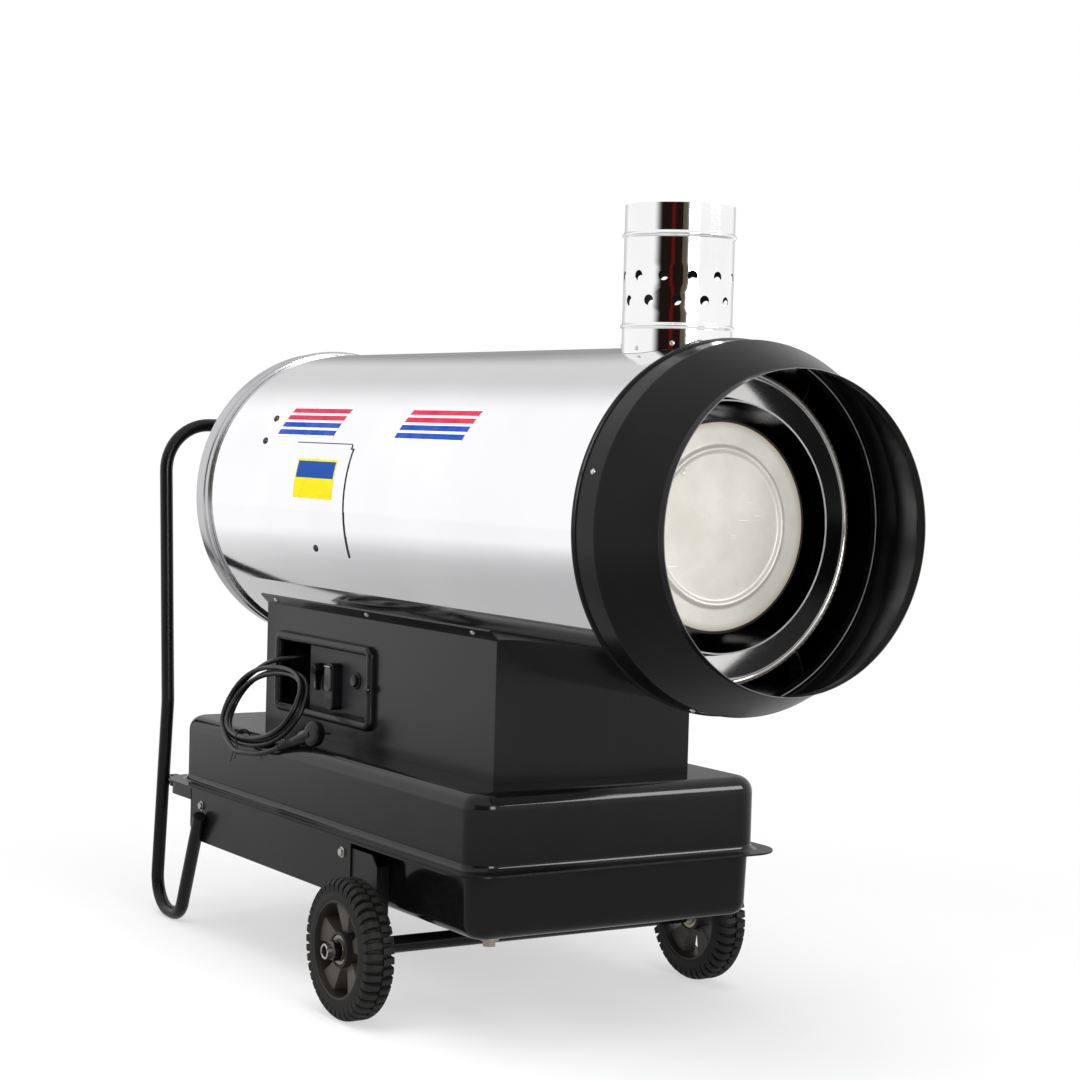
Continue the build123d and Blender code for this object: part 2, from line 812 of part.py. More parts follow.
# Control box: four folded walls, saddle cut to the drum, flanges bent onto it along both sides
box_half = box_width / 2
box_x = rear_x + box_start + box_length / 2
flange_low = degrees(acos(box_half / drum_radius))
flange_high = flange_low - degrees(box_flange / drum_radius)
with BuildPart() as control_box:
    with BuildSketch(Plane.XY.offset(plateau)):
        with Locations((box_x, 0)):
            Rectangle(box_length, box_width)
            Rectangle(box_length - 2 * box_wall, box_width - 2 * box_wall, mode=Mode.SUBTRACT)
    extrude(amount=box_drop)
    with BuildSketch(drum_section.offset(box_start - box_wall)):
        Circle(drum_radius)
        with Locations((0, drum_radius)):
            Rectangle(2 * drum_radius, 2 * drum_radius)
        with Locations((-drum_radius, drum_radius - drum_radius * sin(radians(flange_low)))):
            Rectangle(2 * drum_radius, 2 * drum_radius)
        with Locations((drum_radius, drum_radius - drum_radius * sin(radians(flange_low)))):
            Rectangle(2 * drum_radius, 2 * drum_radius)
    extrude(amount=box_length + 2 * box_wall, mode=Mode.SUBTRACT)
    with BuildSketch(drum_section.offset(box_start)):
        add(curved_strip(drum_radius, drum_radius + box_wall, 360 - flange_low - 1, 360 - flange_high))
        add(curved_strip(drum_radius, drum_radius + box_wall, 180 + flange_high, 180 + flange_low + 1))
    extrude(amount=box_length)
    with BuildSketch(Plane.XZ.offset(box_half - 2 * box_wall)):
        with Locations(
            (rear_x + bezel_start + bezel_length / 2, axis_height + (bezel_low + bezel_high) / 2)
        ):
            Rectangle(
                bezel_length - 2 * bezel_frame + 2 * recess_wall,
                bezel_high - bezel_low - 2 * bezel_frame + 2 * recess_wall,
            )
    extrude(amount=4 * box_wall, mode=Mode.SUBTRACT)
control_box.part.label = "control_box"
export_step(control_box.part, "parts/control_box.step")

# Control bezel: raised frame, collar through the box wall and a deep pocket for the cord
bezel_x = rear_x + bezel_start + bezel_length / 2
bezel_z = axis_height + (bezel_low + bezel_high) / 2
bezel_tall = bezel_high - bezel_low
window_length = bezel_length - 2 * bezel_frame
window_tall = bezel_tall - 2 * bezel_frame
window_start = bezel_start + bezel_frame
pocket_length = plate_start - window_start
pocket_back = (
    rear_x + window_start + pocket_length / 2,
    -box_half + pocket_depth - recess_wall,
    axis_height + gland_height,
)
with BuildPart() as control_bezel:
    with BuildSketch(Plane.XZ.offset(box_half)):
        with Locations((bezel_x, bezel_z)):
            RectangleRounded(bezel_length, bezel_tall, bezel_corner)
    extrude(amount=bezel_proud)
    chamfer(control_bezel.edges().group_by(Axis.Y)[0], bezel_proud / 2)
    with BuildSketch(Plane.XZ.offset(box_half - plate_depth)):
        with Locations((bezel_x, bezel_z)):
            Rectangle(window_length + 2 * recess_wall, window_tall + 2 * recess_wall)
    extrude(amount=plate_depth)
    with BuildSketch(Plane.XZ.offset(box_half - pocket_depth)):
        with Locations((rear_x + window_start + pocket_length / 2, bezel_z)):
            Rectangle(pocket_length + 2 * recess_wall, window_tall + 2 * recess_wall)
    extrude(amount=pocket_depth)
    with BuildSketch(Plane.XZ.offset(box_half - plate_depth)):
        with Locations((bezel_x, bezel_z)):
            Rectangle(window_length, window_tall)
    extrude(amount=plate_depth + bezel_proud, mode=Mode.SUBTRACT)
    with BuildSketch(Plane.XZ.offset(box_half - pocket_depth + recess_wall)):
        with Locations((rear_x + window_start + pocket_length / 2, bezel_z)):
            Rectangle(pocket_length, window_tall)
    extrude(amount=pocket_depth, mode=Mode.SUBTRACT)
    with BuildSketch(Plane(origin=pocket_back, x_dir=(1, 0, 0), z_dir=(0, -1, 0))):
        RegularPolygon(gland_radius, 8)
    extrude(amount=2 * recess_wall, both=True, mode=Mode.SUBTRACT)
control_bezel.part.label = "control_bezel"
export_step(control_bezel.part, "parts/control_bezel.step")

# Control plate behind the collar
window_end = window_start + window_length
plate_face = Plane(
    origin=(rear_x, -box_half + plate_depth, axis_height), x_dir=(1, 0, 0), z_dir=(0, -1, 0)
)
stem_radius = 4
with BuildPart() as control_plate:
    with BuildSketch(plate_face):
        with Locations(((plate_start + window_end) / 2 + recess_wall, (bezel_low + bezel_high) / 2)):
            Rectangle(window_end - plate_start, window_tall + 2 * recess_wall)
        with Locations((knob_at, knob_height), (button_at, button_height)):
            RegularPolygon(
                stem_radius + running_gap, casing_sides, major_radius=False, mode=Mode.SUBTRACT
            )
    extrude(amount=-plate_wall)
control_plate.part.label = "control_plate"
export_step(control_plate.part, "parts/control_plate.step")

# Burner control unit on the plate's back, bored for the knob and button stems
with BuildPart() as control_unit:
    with BuildSketch(plate_face.offset(-plate_wall)):
        with Locations(((plate_start + window_end) / 2 + recess_wall, (bezel_low + bezel_high) / 2)):
            Rectangle(window_end - plate_start - 20, window_tall - 10)
    extrude(amount=-unit_depth)
    with BuildSketch(plate_face.offset(-plate_wall)):
        with Locations((knob_at, knob_height), (button_at, button_height)):
            RegularPolygon(stem_radius + running_gap, casing_sides, major_radius=False)
    extrude(amount=-12, mode=Mode.SUBTRACT)
control_unit.part.label = "control_unit"
export_step(control_unit.part, "parts/control_unit.step")

# Switch knob: round body, tapering pointer and stem
with BuildPart() as switch_knob:
    with BuildSketch(plate_face.offset(fit_gap)):
        with Locations((knob_at, knob_height)):
            RegularPolygon(knob_radius, 16)
            Trapezoid(knob_radius, knob_pointer, 84, rotation=180, align=(Align.CENTER, Align.MIN))
    extrude(amount=knob_length)
    with BuildSketch(plate_face.offset(fit_gap)):
        with Locations((knob_at, knob_height)):
            Circle(stem_radius)
    extrude(amount=-plate_wall - 8)
switch_knob.part.label = "switch_knob"
export_step(switch_knob.part, "parts/switch_knob.step")

# Reset button, slides through the plate
with BuildPart() as reset_button:
    with BuildSketch(plate_face.offset(button_travel + fit_gap)):
        with Locations((button_at, button_height)):
            RegularPolygon(button_radius, 16)
    extrude(amount=button_height_proud)
    with BuildSketch(plate_face.offset(button_travel + fit_gap)):
        with Locations((button_at, button_height)):
            RegularPolygon(stem_radius, 8)
    extrude(amount=-button_travel - plate_wall - 5)
reset_button.part.label = "reset_button"
export_step(reset_button.part, "parts/reset_button.step")

# Thermostat socket housing with a rounded top, a face recess and two hinge ears
cover_width = socket_width - 6
hinge_z = socket_low + socket_tall - 6
with BuildPart() as thermostat_socket:
    with BuildSketch(plate_face):
        with Locations((socket_at, socket_low + socket_tall / 2)):
            RectangleRounded(socket_width, socket_tall, socket_width / 3)
    extrude(amount=socket_depth)
    with BuildSketch(plate_face.offset(socket_depth)):
        with Locations((socket_at, socket_low + socket_tall - cover_tall / 2 - 8)):
            Rectangle(cover_width - 6, cover_tall - 14)
    extrude(amount=-socket_depth + 4, mode=Mode.SUBTRACT)
    with BuildSketch(plate_face.offset(socket_depth)):
        with Locations(
            (socket_at - cover_width / 2 - 1, hinge_z),
            (socket_at + cover_width / 2 + 1, hinge_z),
        ):
            Rectangle(2 - 2 * running_gap, 5)
    extrude(amount=5)
thermostat_socket.part.label = "thermostat_socket"
export_step(thermostat_socket.part, "parts/thermostat_socket.step")

# Sprung cover on its pin
hinge_y = -box_half + plate_depth - socket_depth - 2.5
with BuildPart() as socket_cover:
    with BuildSketch(plate_face.offset(socket_depth + fit_gap)):
        with Locations((socket_at, hinge_z - cover_tall / 2 + 1)):
            Rectangle(cover_width, cover_tall)
    extrude(amount=cover_wall)
    with Locations((rear_x + socket_at, hinge_y, axis_height + hinge_z)):
        Cylinder(hinge_radius, cover_width, rotation=(0, 90, 0))
socket_cover.part.label = "socket_cover"
export_step(socket_cover.part, "parts/socket_cover.step")

# Cord gland through the pocket wall: lock nut, shank and tapering sleeve
gland_plane = Plane(origin=pocket_back, x_dir=(1, 0, 0), z_dir=(0, -1, 0))
with BuildPart() as cord_gland:
    with BuildSketch(gland_plane.offset(-8)):
        RegularPolygon(gland_radius, 8)
    extrude(amount=8)
    with BuildSketch(gland_plane):
        RegularPolygon(gland_nut, 6)
    extrude(amount=gland_length / 2)
    with BuildSketch(gland_plane.offset(gland_length / 2)):
        RegularPolygon(gland_radius - gland_taper, 8)
    extrude(amount=gland_length / 2)
cord_gland.part.label = "cord_gland"
export_step(cord_gland.part, "parts/cord_gland.step")


def bend_radii(points):
    corners = [Vector(*point) for point in points]
    radii = []
    for before, at, after in zip(corners, corners[1:], corners[2:]):
        turn = (at - before).get_angle(after - at)
        radii.append(0.45 * min((at - before).length, (after - at).length) / tan(radians(turn / 2)))
    return radii


def bent_tube(points, bends, radius, sides, side_way):
    corners = [Vector(*point) for point in points]
    runs = [(after - before).normalized() for before, after in zip(corners, corners[1:])]
    start = corners[0]
    length = 0
    with BuildPart() as tube:
        for number, run in enumerate(runs):
            last = number == len(runs) - 1
            turn = 0 if last else radians(run.get_angle(runs[number + 1]))
            setback = 0 if last else bends[number] * tan(turn / 2)
            straight = (corners[number + 1] - start).length - setback
            with BuildSketch(Plane(origin=start, x_dir=side_way, z_dir=run)):
                RegularPolygon(radius, sides)
            extrude(amount=straight)
            length += straight
            if last:
                continue
            pivot_way = run.cross(runs[number + 1]).normalized()
            bend_start = corners[number + 1] - run * setback
            centre = bend_start + pivot_way.cross(run) * bends[number]
            with BuildSketch(Plane(origin=bend_start, x_dir=side_way, z_dir=run)):
                RegularPolygon(radius, sides)
            revolve(axis=Axis(centre, pivot_way), revolution_arc=degrees(turn))
            side_way = side_way.rotate(Axis((0, 0, 0), pivot_way), degrees(turn))
            start = corners[number + 1] + runs[number + 1] * setback
            length += bends[number] * turn
    area = sides / 2 * radius**2 * sin(2 * pi / sides)
    print("bend radii", [round(bend, 1) for bend in bends], "length", round(length, 1))
    print("volume", round(tube.part.volume, 1), "section by length", round(area * length, 1))
    return tube.part


def hose(points, radius, sides):
    ahead = Vector(*points[1]) - Vector(*points[0])
    across = ahead.cross(Vector(0, 0.3, 1)).normalized()
    return bent_tube(points, bend_radii(points), radius, sides, across)


# Cord lead, from the gland over the hank's top
def at(x, side, height):
    return (rear_x + x, side, axis_height + height)


lead_start = (pocket_back[0], pocket_back[1] - gland_length, pocket_back[2])
cord_lead = hose([lead_start, at(219.5, -190, -253), at(160, -188.4, -264.6)], cord_radius, cord_sides)
cord_lead.label = "cord_lead"
export_step(cord_lead, "parts/cord_lead.step")

# Cord hank: three turns tied in one flat oval, leaning on the bezel and over the tank's edge
slope = Vector(0, sin(radians(hank_tilt)), cos(radians(hank_tilt)))
hank_along = Vector(1, 0, 0) * cos(radians(hank_roll)) + slope * sin(radians(hank_roll))
hank_plane = Plane(
    origin=at(hank_at, hank_side, hank_height), x_dir=hank_along, z_dir=Vector(1, 0, 0).cross(slope)
)
hank_straight = (hank_length - hank_width) / 2
hank_outer = hank_width / 2 + hank_radius
hank_inner = hank_width / 2 - hank_radius
with BuildPart() as cord_coil:
    with BuildSketch(hank_plane.offset(-hank_radius)):
        with Locations((-hank_straight, 0), (hank_straight, 0)):
            RegularPolygon(hank_outer, hank_sides)
        Rectangle(2 * hank_straight, 2 * hank_outer)
        with Locations((-hank_straight, 0), (hank_straight, 0)):
            RegularPolygon(hank_inner, hank_sides, mode=Mode.SUBTRACT)
        Rectangle(2 * hank_straight, 2 * hank_inner, mode=Mode.SUBTRACT)
    extrude(amount=2 * hank_radius)
    hank_faces = cord_coil.faces().sort_by(Axis((0, 0, 0), hank_plane.z_dir))
    chamfer(hank_faces[0].edges() + hank_faces[-1].edges(), hank_radius * tan(pi / 6))
cord_coil.part.label = "cord_coil"
export_step(cord_coil.part, "parts/cord_coil.step")

# Cord tail, from the hank's tie to the plug
cable_end = at(335, -248.2, -387)
plug_centre = at(418, -226, -354.6)
relief = (Vector(*cable_end) - Vector(*plug_centre)).normalized()
tail_bend = Vector(*cable_end) + relief * 36
cord_tail = hose(
    [at(210, -265.4, -405.8), at(256, -263.4, -402.8), tuple(tail_bend), cable_end],
    cord_radius,
    cord_sides,
)
cord_tail.label = "cord_tail"
export_step(cord_tail, "parts/cord_tail.step")

# Angled plug resting on its rim: round head, cable sleeve and two pins
plug_axis = Vector(0, 1, 0) - relief * relief.Y
sleeve_length = (Vector(*cable_end) - Vector(*plug_centre)).length
plug_plane = Plane(origin=plug_centre, x_dir=relief, z_dir=plug_axis)
with BuildPart() as plug:
    with BuildSketch(plug_plane.offset(-plug_depth / 2)):
        RegularPolygon(plug_radius, 20)
    extrude(amount=plug_depth)
    with BuildSketch(Plane(origin=plug_centre, x_dir=plug_axis, z_dir=relief)):
        RegularPolygon(sleeve_radius, 8)
    extrude(amount=sleeve_length)
    with BuildSketch(plug_plane.offset(plug_depth / 2)):
        with Locations((0, pin_spacing / 2), (0, -pin_spacing / 2)):
            RegularPolygon(pin_radius, 8)
    extrude(amount=pin_length)
plug.part.label = "plug"
export_step(plug.part, "parts/plug.step")

def tank_outline(length, width, corner):
    with BuildSketch(Plane.XY) as outline:
        Rectangle(length, width)
        chamfer(outline.vertices(), corner * (2 - sqrt(2)))
        chamfer(outline.vertices(), corner * (tan(pi / 8) - tan(pi / 16)))
    return outline.sketch


def rolled_edge(shell, way, radius):
    for rise, lean in ((sin(pi / 6), 15), (cos(pi / 6) - sin(pi / 6), 45), (1 - cos(pi / 6), 75)):
        extrude(shell.faces().sort_by(Axis.Z)[way], amount=radius * rise, taper=lean)


def cavity(plane, length, width, corner, depth):
    with BuildPart() as hollow:
        with BuildSketch(plane):
            add(tank_outline(length - 2 * tank_wall, width - 2 * tank_wall, corner - tank_wall))
        extrude(amount=depth)
    return hollow.part


# Tank upper half: pressed shell with its plateau, seam lip, filler neck and fitting holes
tank_x = rear_x + tank_start + tank_length / 2
seam_plane = Plane(origin=(tank_x, 0, seam_height))
plateau_plane = Plane(origin=(rear_x, 0, plateau))
with BuildPart() as tank_upper_half:
    with BuildSketch(seam_plane):
        add(tank_outline(tank_length, tank_width, tank_corner))
    extrude(amount=tank_upper_depth - tank_edge)
    rolled_edge(tank_upper_half, -1, tank_edge)
    add(
        cavity(seam_plane, tank_length, tank_width, tank_corner, tank_upper_depth - tank_edge),
        mode=Mode.SUBTRACT,
    )
    with BuildSketch(seam_plane):
        add(tank_outline(tank_length + 2 * lip_end, tank_width + 2 * lip_side, lip_corner))
        add(
            tank_outline(
                tank_length - 2 * tank_wall, tank_width - 2 * tank_wall, tank_corner - tank_wall
            ),
            mode=Mode.SUBTRACT,
        )
    extrude(amount=lip_wall)
    with BuildSketch(plateau_plane):
        with Locations((filler_at, filler_side)):
            Circle(neck_radius)
    extrude(amount=neck_height)
    with BuildSketch(plateau_plane.offset(-tank_edge)):
        with Locations((filler_at, filler_side)):
            Circle(neck_radius - neck_wall)
        with Locations((filler_at, gauge_side)):
            RegularPolygon(gauge_stem, 6)
        with Locations((pickup_at, pickup_side)):
            RegularPolygon(pickup_radius, 6)
    extrude(amount=tank_edge + neck_height, mode=Mode.SUBTRACT)
tank_upper_half.part.label = "tank_upper_half"
export_step(tank_upper_half.part, "parts/tank_upper_half.step")

# Tank lower half: tapered pressing with a rounded bottom and the matching lip
with BuildPart() as tank_lower_half:
    with BuildSketch(seam_plane):
        add(
            tank_outline(
                tank_length - 2 * lower_inset, tank_width - 2 * lower_inset, tank_corner - lower_inset
            )
        )
    extrude(amount=-tank_lower_depth + lower_edge, taper=lower_taper)
    rolled_edge(tank_lower_half, 0, lower_edge)
    add(
        cavity(
            seam_plane.rotated((180, 0, 0)),
            tank_length - 2 * lower_inset - 2 * lower_lean,
            tank_width - 2 * lower_inset - 2 * lower_lean,
            tank_corner - lower_inset,
            tank_lower_depth - lower_edge,
        ),
        mode=Mode.SUBTRACT,
    )
    with BuildSketch(seam_plane):
        add(tank_outline(tank_length + 2 * lip_end, tank_width + 2 * lip_side, lip_corner))
        add(
            tank_outline(
                tank_length - 2 * lower_inset - 2 * tank_wall,
                tank_width - 2 * lower_inset - 2 * tank_wall,
                tank_corner - lower_inset - tank_wall,
            ),
            mode=Mode.SUBTRACT,
        )
    extrude(amount=-lip_wall)
    with BuildSketch(Plane(origin=(rear_x + drain_at, drain_side, tank_bottom))):
        RegularPolygon(drain_radius, 12)
    extrude(amount=lower_edge, mode=Mode.SUBTRACT)
tank_lower_half.part.label = "tank_lower_half"
export_step(tank_lower_half.part, "parts/tank_lower_half.step")

# Drain plug: collar, hexagon and its threaded end in the tank floor
with BuildPart() as drain_plug:
    with BuildSketch(Plane(origin=(rear_x + drain_at, drain_side, tank_bottom + 8))):
        RegularPolygon(drain_radius, 12)
    extrude(amount=-8)
    with BuildSketch(Plane(origin=(rear_x + drain_at, drain_side, tank_bottom))):
        RegularPolygon(drain_radius + 5, 12)
    extrude(amount=-4)
    with BuildSketch(Plane(origin=(rear_x + drain_at, drain_side, tank_bottom - 4))):
        RegularPolygon(drain_radius + 1, 6)
    extrude(amount=-8)
drain_plug.part.label = "drain_plug"
export_step(drain_plug.part, "parts/drain_plug.step")

# Filler cap, a quarter-turn cap over the neck with grips round its rim
with BuildPart() as filler_cap:
    with BuildSketch(plateau_plane.offset(fit_gap)):
        with Locations((filler_at, filler_side)):
            RegularPolygon(cap_radius, cap_sides)
    extrude(amount=cap_height)
    with BuildSketch(plateau_plane.offset(fit_gap)):
        with Locations((filler_at, filler_side)):
            RegularPolygon(neck_radius + running_gap, cap_sides, major_radius=False)
    extrude(amount=neck_height, mode=Mode.SUBTRACT)
filler_cap.part.label = "filler_cap"
export_step(filler_cap.part, "parts/filler_cap.step")

# Fuel gauge: dial body on the plateau and its stem in the tank
with BuildPart() as fuel_gauge:
    with BuildSketch(plateau_plane):
        with Locations((filler_at, gauge_side)):
            RegularPolygon(gauge_radius, 24)
    extrude(amount=gauge_height)
    with BuildSketch(plateau_plane):
        with Locations((filler_at, gauge_side)):
            RegularPolygon(gauge_stem, 6)
    extrude(amount=-gauge_reach)
fuel_gauge.part.label = "fuel_gauge"
export_step(fuel_gauge.part, "parts/fuel_gauge.step")

# Fuel pickup: flange, hose stubs and suction pipe
with BuildPart() as tank_pickup:
    with BuildSketch(plateau_plane):
        with Locations((pickup_at, pickup_side)):
            RegularPolygon(4 * pickup_radius, 6)
    extrude(amount=6)
    with BuildSketch(plateau_plane.offset(6)):
        with Locations((pickup_at, pickup_side - hose_spread), (pickup_at, pickup_side + hose_spread)):
            RegularPolygon(hose_radius, 6)
    extrude(amount=14)
    with BuildSketch(plateau_plane):
        with Locations((pickup_at, pickup_side)):
            RegularPolygon(pickup_radius, 6)
    extrude(amount=-pickup_reach)
tank_pickup.part.label = "tank_pickup"
export_step(tank_pickup.part, "parts/tank_pickup.step")

# Fuel hoses, supply and return, from the pickup up through the drum to the pump
pump_side = -burner_width / 2 - pump_depth / 2
hose_runs = []
for side in (-hose_spread, hose_spread):
    hose_runs.append(
        hose(
            [
                at(pickup_at, pickup_side + side, -box_drop + 20),
                at(pickup_at, pickup_side + side, -box_drop + 75),
                at(burner_at, pump_side + side, -pump_size / 2 - 90),
                at(burner_at, pump_side + side, -pump_size / 2),
            ],
            hose_radius,
            6,
        )
    )
fuel_hoses = Compound(children=hose_runs)
fuel_hoses.label = "fuel_hoses"
export_step(fuel_hoses, "parts/fuel_hoses.step")

# Side plates: web with its rear tongue and a top flange under the tank lip
lip_under = seam_height - lip_wall
web_inner = handle_spread + tube_radius
tube_seat_x = leg_top_x + (leg_top_height - lip_under + tongue_tall / 2) * leg_lean
with BuildPart() as side_plates:
    for side in (-1, 1):
        with BuildSketch(
            Plane(origin=(rear_x, side * web_inner, lip_under), x_dir=(1, 0, 0), z_dir=(0, -1, 0))
        ):
            with BuildLine():
                Polyline(
                    (-tube_seat_x - 14, 0),
                    (plate_end_x, 0),
                    (plate_end_x, -plate_tall),
                    (plate_start_x + 20, -plate_tall),
                    (plate_start_x, -plate_tall + 20),
                    (plate_start_x, -tongue_tall),
                    (-tube_seat_x - 14, -tongue_tall),
                    close=True,
                )
            make_face()
        extrude(amount=-side * side_wall)
        with BuildSketch(Plane(origin=(rear_x, 0, lip_under))):
            with Locations(((plate_start_x + plate_end_x) / 2, side * (web_inner - plate_flange / 2))):
                Rectangle(plate_end_x - plate_start_x, plate_flange)
        extrude(amount=-side_wall)
side_plates.part.label = "side_plates"
export_step(side_plates.part, "parts/side_plates.step")

# Rear crossmember between the tongues, across the handle tubes
with BuildPart() as rear_crossmember:
    with BuildSketch(Plane(origin=(rear_x, 0, lip_under))):
        with Locations((tank_start - lip_end - crossmember_depth / 2, 0)):
            Rectangle(crossmember_depth, 2 * web_inner)
    extrude(amount=-tongue_tall)
    with BuildSketch(Plane(origin=(rear_x, 0, lip_under - side_wall))):
        with Locations((tank_start - lip_end - crossmember_depth / 2 - side_wall, 0)):
            Rectangle(crossmember_depth, 2 * web_inner)
    extrude(amount=-tongue_tall, mode=Mode.SUBTRACT)
rear_crossmember.part.label = "rear_crossmember"
export_step(rear_crossmember.part, "parts/rear_crossmember.step")

# Axle brackets: web against the side plate, front flange and foot on the axle beam
beam_top = wheel_radius + beam_size / 2
with BuildPart() as axle_brackets:
    for side in (-1, 1):
        with BuildSketch(
            Plane(origin=(rear_x, side * web_inner, beam_top), x_dir=(1, 0, 0), z_dir=(0, -1, 0))
        ):
            with BuildLine():
                Polyline(
                    (bracket_front, 0),
                    (bracket_front, bracket_tall - 16),
                    (bracket_front - 16, bracket_tall),
                    (bracket_front - bracket_length, bracket_tall),
                    (bracket_front - bracket_length, bracket_tall - 50),
                    (bracket_front - bracket_length / 2, 0),
                    close=True,
                )
            make_face()
        extrude(amount=side * side_wall)
        with BuildSketch(Plane(origin=(rear_x, 0, beam_top))):
            with Locations((bracket_front - side_wall / 2, side * (web_inner - bracket_flange / 2))):
                Rectangle(side_wall, bracket_flange)
        extrude(amount=bracket_tall - 16)
        with BuildSketch(Plane(origin=(rear_x, 0, beam_top))):
            with Locations(
                (bracket_front - bracket_length / 4, side * (web_inner - bracket_flange / 2))
            ):
                Rectangle(bracket_length / 2, bracket_flange)
        extrude(amount=side_wall)
axle_brackets.part.label = "axle_brackets"
export_step(axle_brackets.part, "parts/axle_brackets.step")

# Axle beam, a square tube around the axle
axle_plane = Plane(origin=(rear_x + axle_at, 0, wheel_radius), x_dir=(1, 0, 0), z_dir=(0, -1, 0))
with BuildPart() as axle_beam:
    with BuildSketch(axle_plane):
        Rectangle(beam_size, beam_size)
        Circle(axle_radius, mode=Mode.SUBTRACT)
    extrude(amount=beam_half, both=True)
axle_beam.part.label = "axle_beam"
export_step(axle_beam.part, "parts/axle_beam.step")

# Axle tube through beam and wheels
wheel_outer = wheel_track / 2 + wheel_width / 2
with BuildPart() as axle_tube:
    with BuildSketch(axle_plane):
        Circle(axle_radius)
        Circle(axle_radius - axle_wall, mode=Mode.SUBTRACT)
    extrude(amount=wheel_outer + axle_overhang, both=True)
axle_tube.part.label = "axle_tube"
export_step(axle_tube.part, "parts/axle_tube.step")

# Wheels: lugged tyre on a spoked rim with a long hub
for side, name in ((1, "left"), (-1, "right")):
    wheel_plane = axle_plane.offset(-side * wheel_track / 2)
    half = wheel_width / 2
    with BuildPart() as tyre:
        with BuildSketch(wheel_plane):
            RegularPolygon(wheel_radius, tyre_sides)
        extrude(amount=half, both=True)
        walls = tyre.faces().sort_by(Axis.Y)
        chamfer(walls[0].edges() + walls[-1].edges(), half - tread_half)
        with BuildSketch(wheel_plane):
            RegularPolygon(rim_radius, tyre_sides)
        extrude(amount=half, both=True, mode=Mode.SUBTRACT)
    tyre.part.label = "tyre_" + name
    export_step(tyre.part, "parts/tyre_" + name + ".step")
    with BuildPart() as rim:
        with BuildSketch(wheel_plane):
            RegularPolygon(rim_radius, tyre_sides)
            RegularPolygon(rim_radius - rim_wall, tyre_sides, mode=Mode.SUBTRACT)
        extrude(amount=half, both=True)
        with BuildSketch(wheel_plane):
            with PolarLocations((hub_radius + rim_radius) / 2 - 2, rim_spokes):
                Trapezoid(spoke_width, rim_radius - hub_radius, 100, rotation=90)
        extrude(amount=rim_web, both=True)
        with BuildSketch(wheel_plane):
            RegularPolygon(hub_radius, tyre_sides // 2)
        extrude(amount=half - 4, both=True)
        with BuildSketch(wheel_plane):
            RegularPolygon(axle_radius + wheel_gap, 18, major_radius=False)
        extrude(amount=half, both=True, mode=Mode.SUBTRACT)
    rim.part.label = "rim_" + name
    export_step(rim.part, "parts/rim_" + name + ".step")

# Axle nuts, outside both wheels
with BuildPart() as axle_nuts:
    for side in (-1, 1):
        with BuildSketch(axle_plane.offset(side * (wheel_outer - 4 + fit_gap))):
            RegularPolygon(axle_radius + 6, 6)
            RegularPolygon(axle_radius, 12, major_radius=False, mode=Mode.SUBTRACT)
        extrude(amount=side * 9)
axle_nuts.part.label = "axle_nuts"
export_step(axle_nuts.part, "parts/axle_nuts.step")

# Handle: one tube, crossbar, both sides and the rear legs
floor_line = tube_radius
leg_bolt_z = lip_under - leg_bolt_drop
half_route = [
    (rear_x + leg_bolt_x, handle_spread, leg_bolt_z),
    (rear_x - leg_toe_x, handle_spread, floor_line),
    (rear_x - leg_foot_x, handle_spread, floor_line),
    (rear_x - leg_top_x, handle_spread, leg_top_height),
    (rear_x - handle_setback + tube_radius, handle_spread, handle_height),
]
mirrored = [(x, -y, z) for x, y, z in reversed(half_route)]
leg_bends = [leg_bend_radius, leg_bend_radius, grip_radius, grip_radius]
handle_tube = bent_tube(
    half_route + mirrored, leg_bends + leg_bends[::-1], tube_radius, tube_sides, Vector(0, 1, 0)
)
handle_tube.label = "handle_tube"
export_step(handle_tube, "parts/handle_tube.step")

# Bolts of the frame: plates to handle legs, tongues to handle, plates to brackets
with BuildPart() as frame_bolts:
    for side in (-1, 1):
        for bolt_x, drop in (
            (leg_bolt_x, leg_bolt_drop),
            (bracket_bolt_x, leg_bolt_drop),
            (-tube_seat_x, tongue_tall / 2),
        ):
            with BuildSketch(
                Plane(
                    origin=(rear_x + bolt_x, side * (web_inner + side_wall), lip_under - drop),
                    x_dir=(1, 0, 0),
                    z_dir=(0, side, 0),
                )
            ):
                RegularPolygon(bolt_head, 6)
            extrude(amount=bolt_head_height)
frame_bolts.part.label = "frame_bolts"
export_step(frame_bolts.part, "parts/frame_bolts.step")
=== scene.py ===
import bpy
import bmesh
from math import atan2, copysign, cos, degrees, pi, radians, sin, sqrt, tan
from mathutils import Matrix, Vector


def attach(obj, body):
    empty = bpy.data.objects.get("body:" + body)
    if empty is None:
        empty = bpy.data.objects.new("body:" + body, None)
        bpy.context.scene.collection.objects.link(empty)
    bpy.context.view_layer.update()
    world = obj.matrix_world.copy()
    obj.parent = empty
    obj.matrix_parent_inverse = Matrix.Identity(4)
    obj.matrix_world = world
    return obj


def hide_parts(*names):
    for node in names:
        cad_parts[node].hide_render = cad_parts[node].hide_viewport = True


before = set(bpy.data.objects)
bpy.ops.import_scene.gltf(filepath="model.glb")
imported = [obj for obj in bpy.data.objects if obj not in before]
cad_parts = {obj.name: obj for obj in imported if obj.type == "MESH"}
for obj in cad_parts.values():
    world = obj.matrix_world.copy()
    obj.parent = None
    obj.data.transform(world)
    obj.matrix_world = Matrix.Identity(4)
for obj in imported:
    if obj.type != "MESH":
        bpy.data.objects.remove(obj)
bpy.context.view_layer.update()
drumRear = -0.592  # rear face of the drum, metres
axisHeight = 0.727  # drum axis over the floor, metres
drumRadius = 240.3  # skin of the drum; this and the sizes below are millimetres


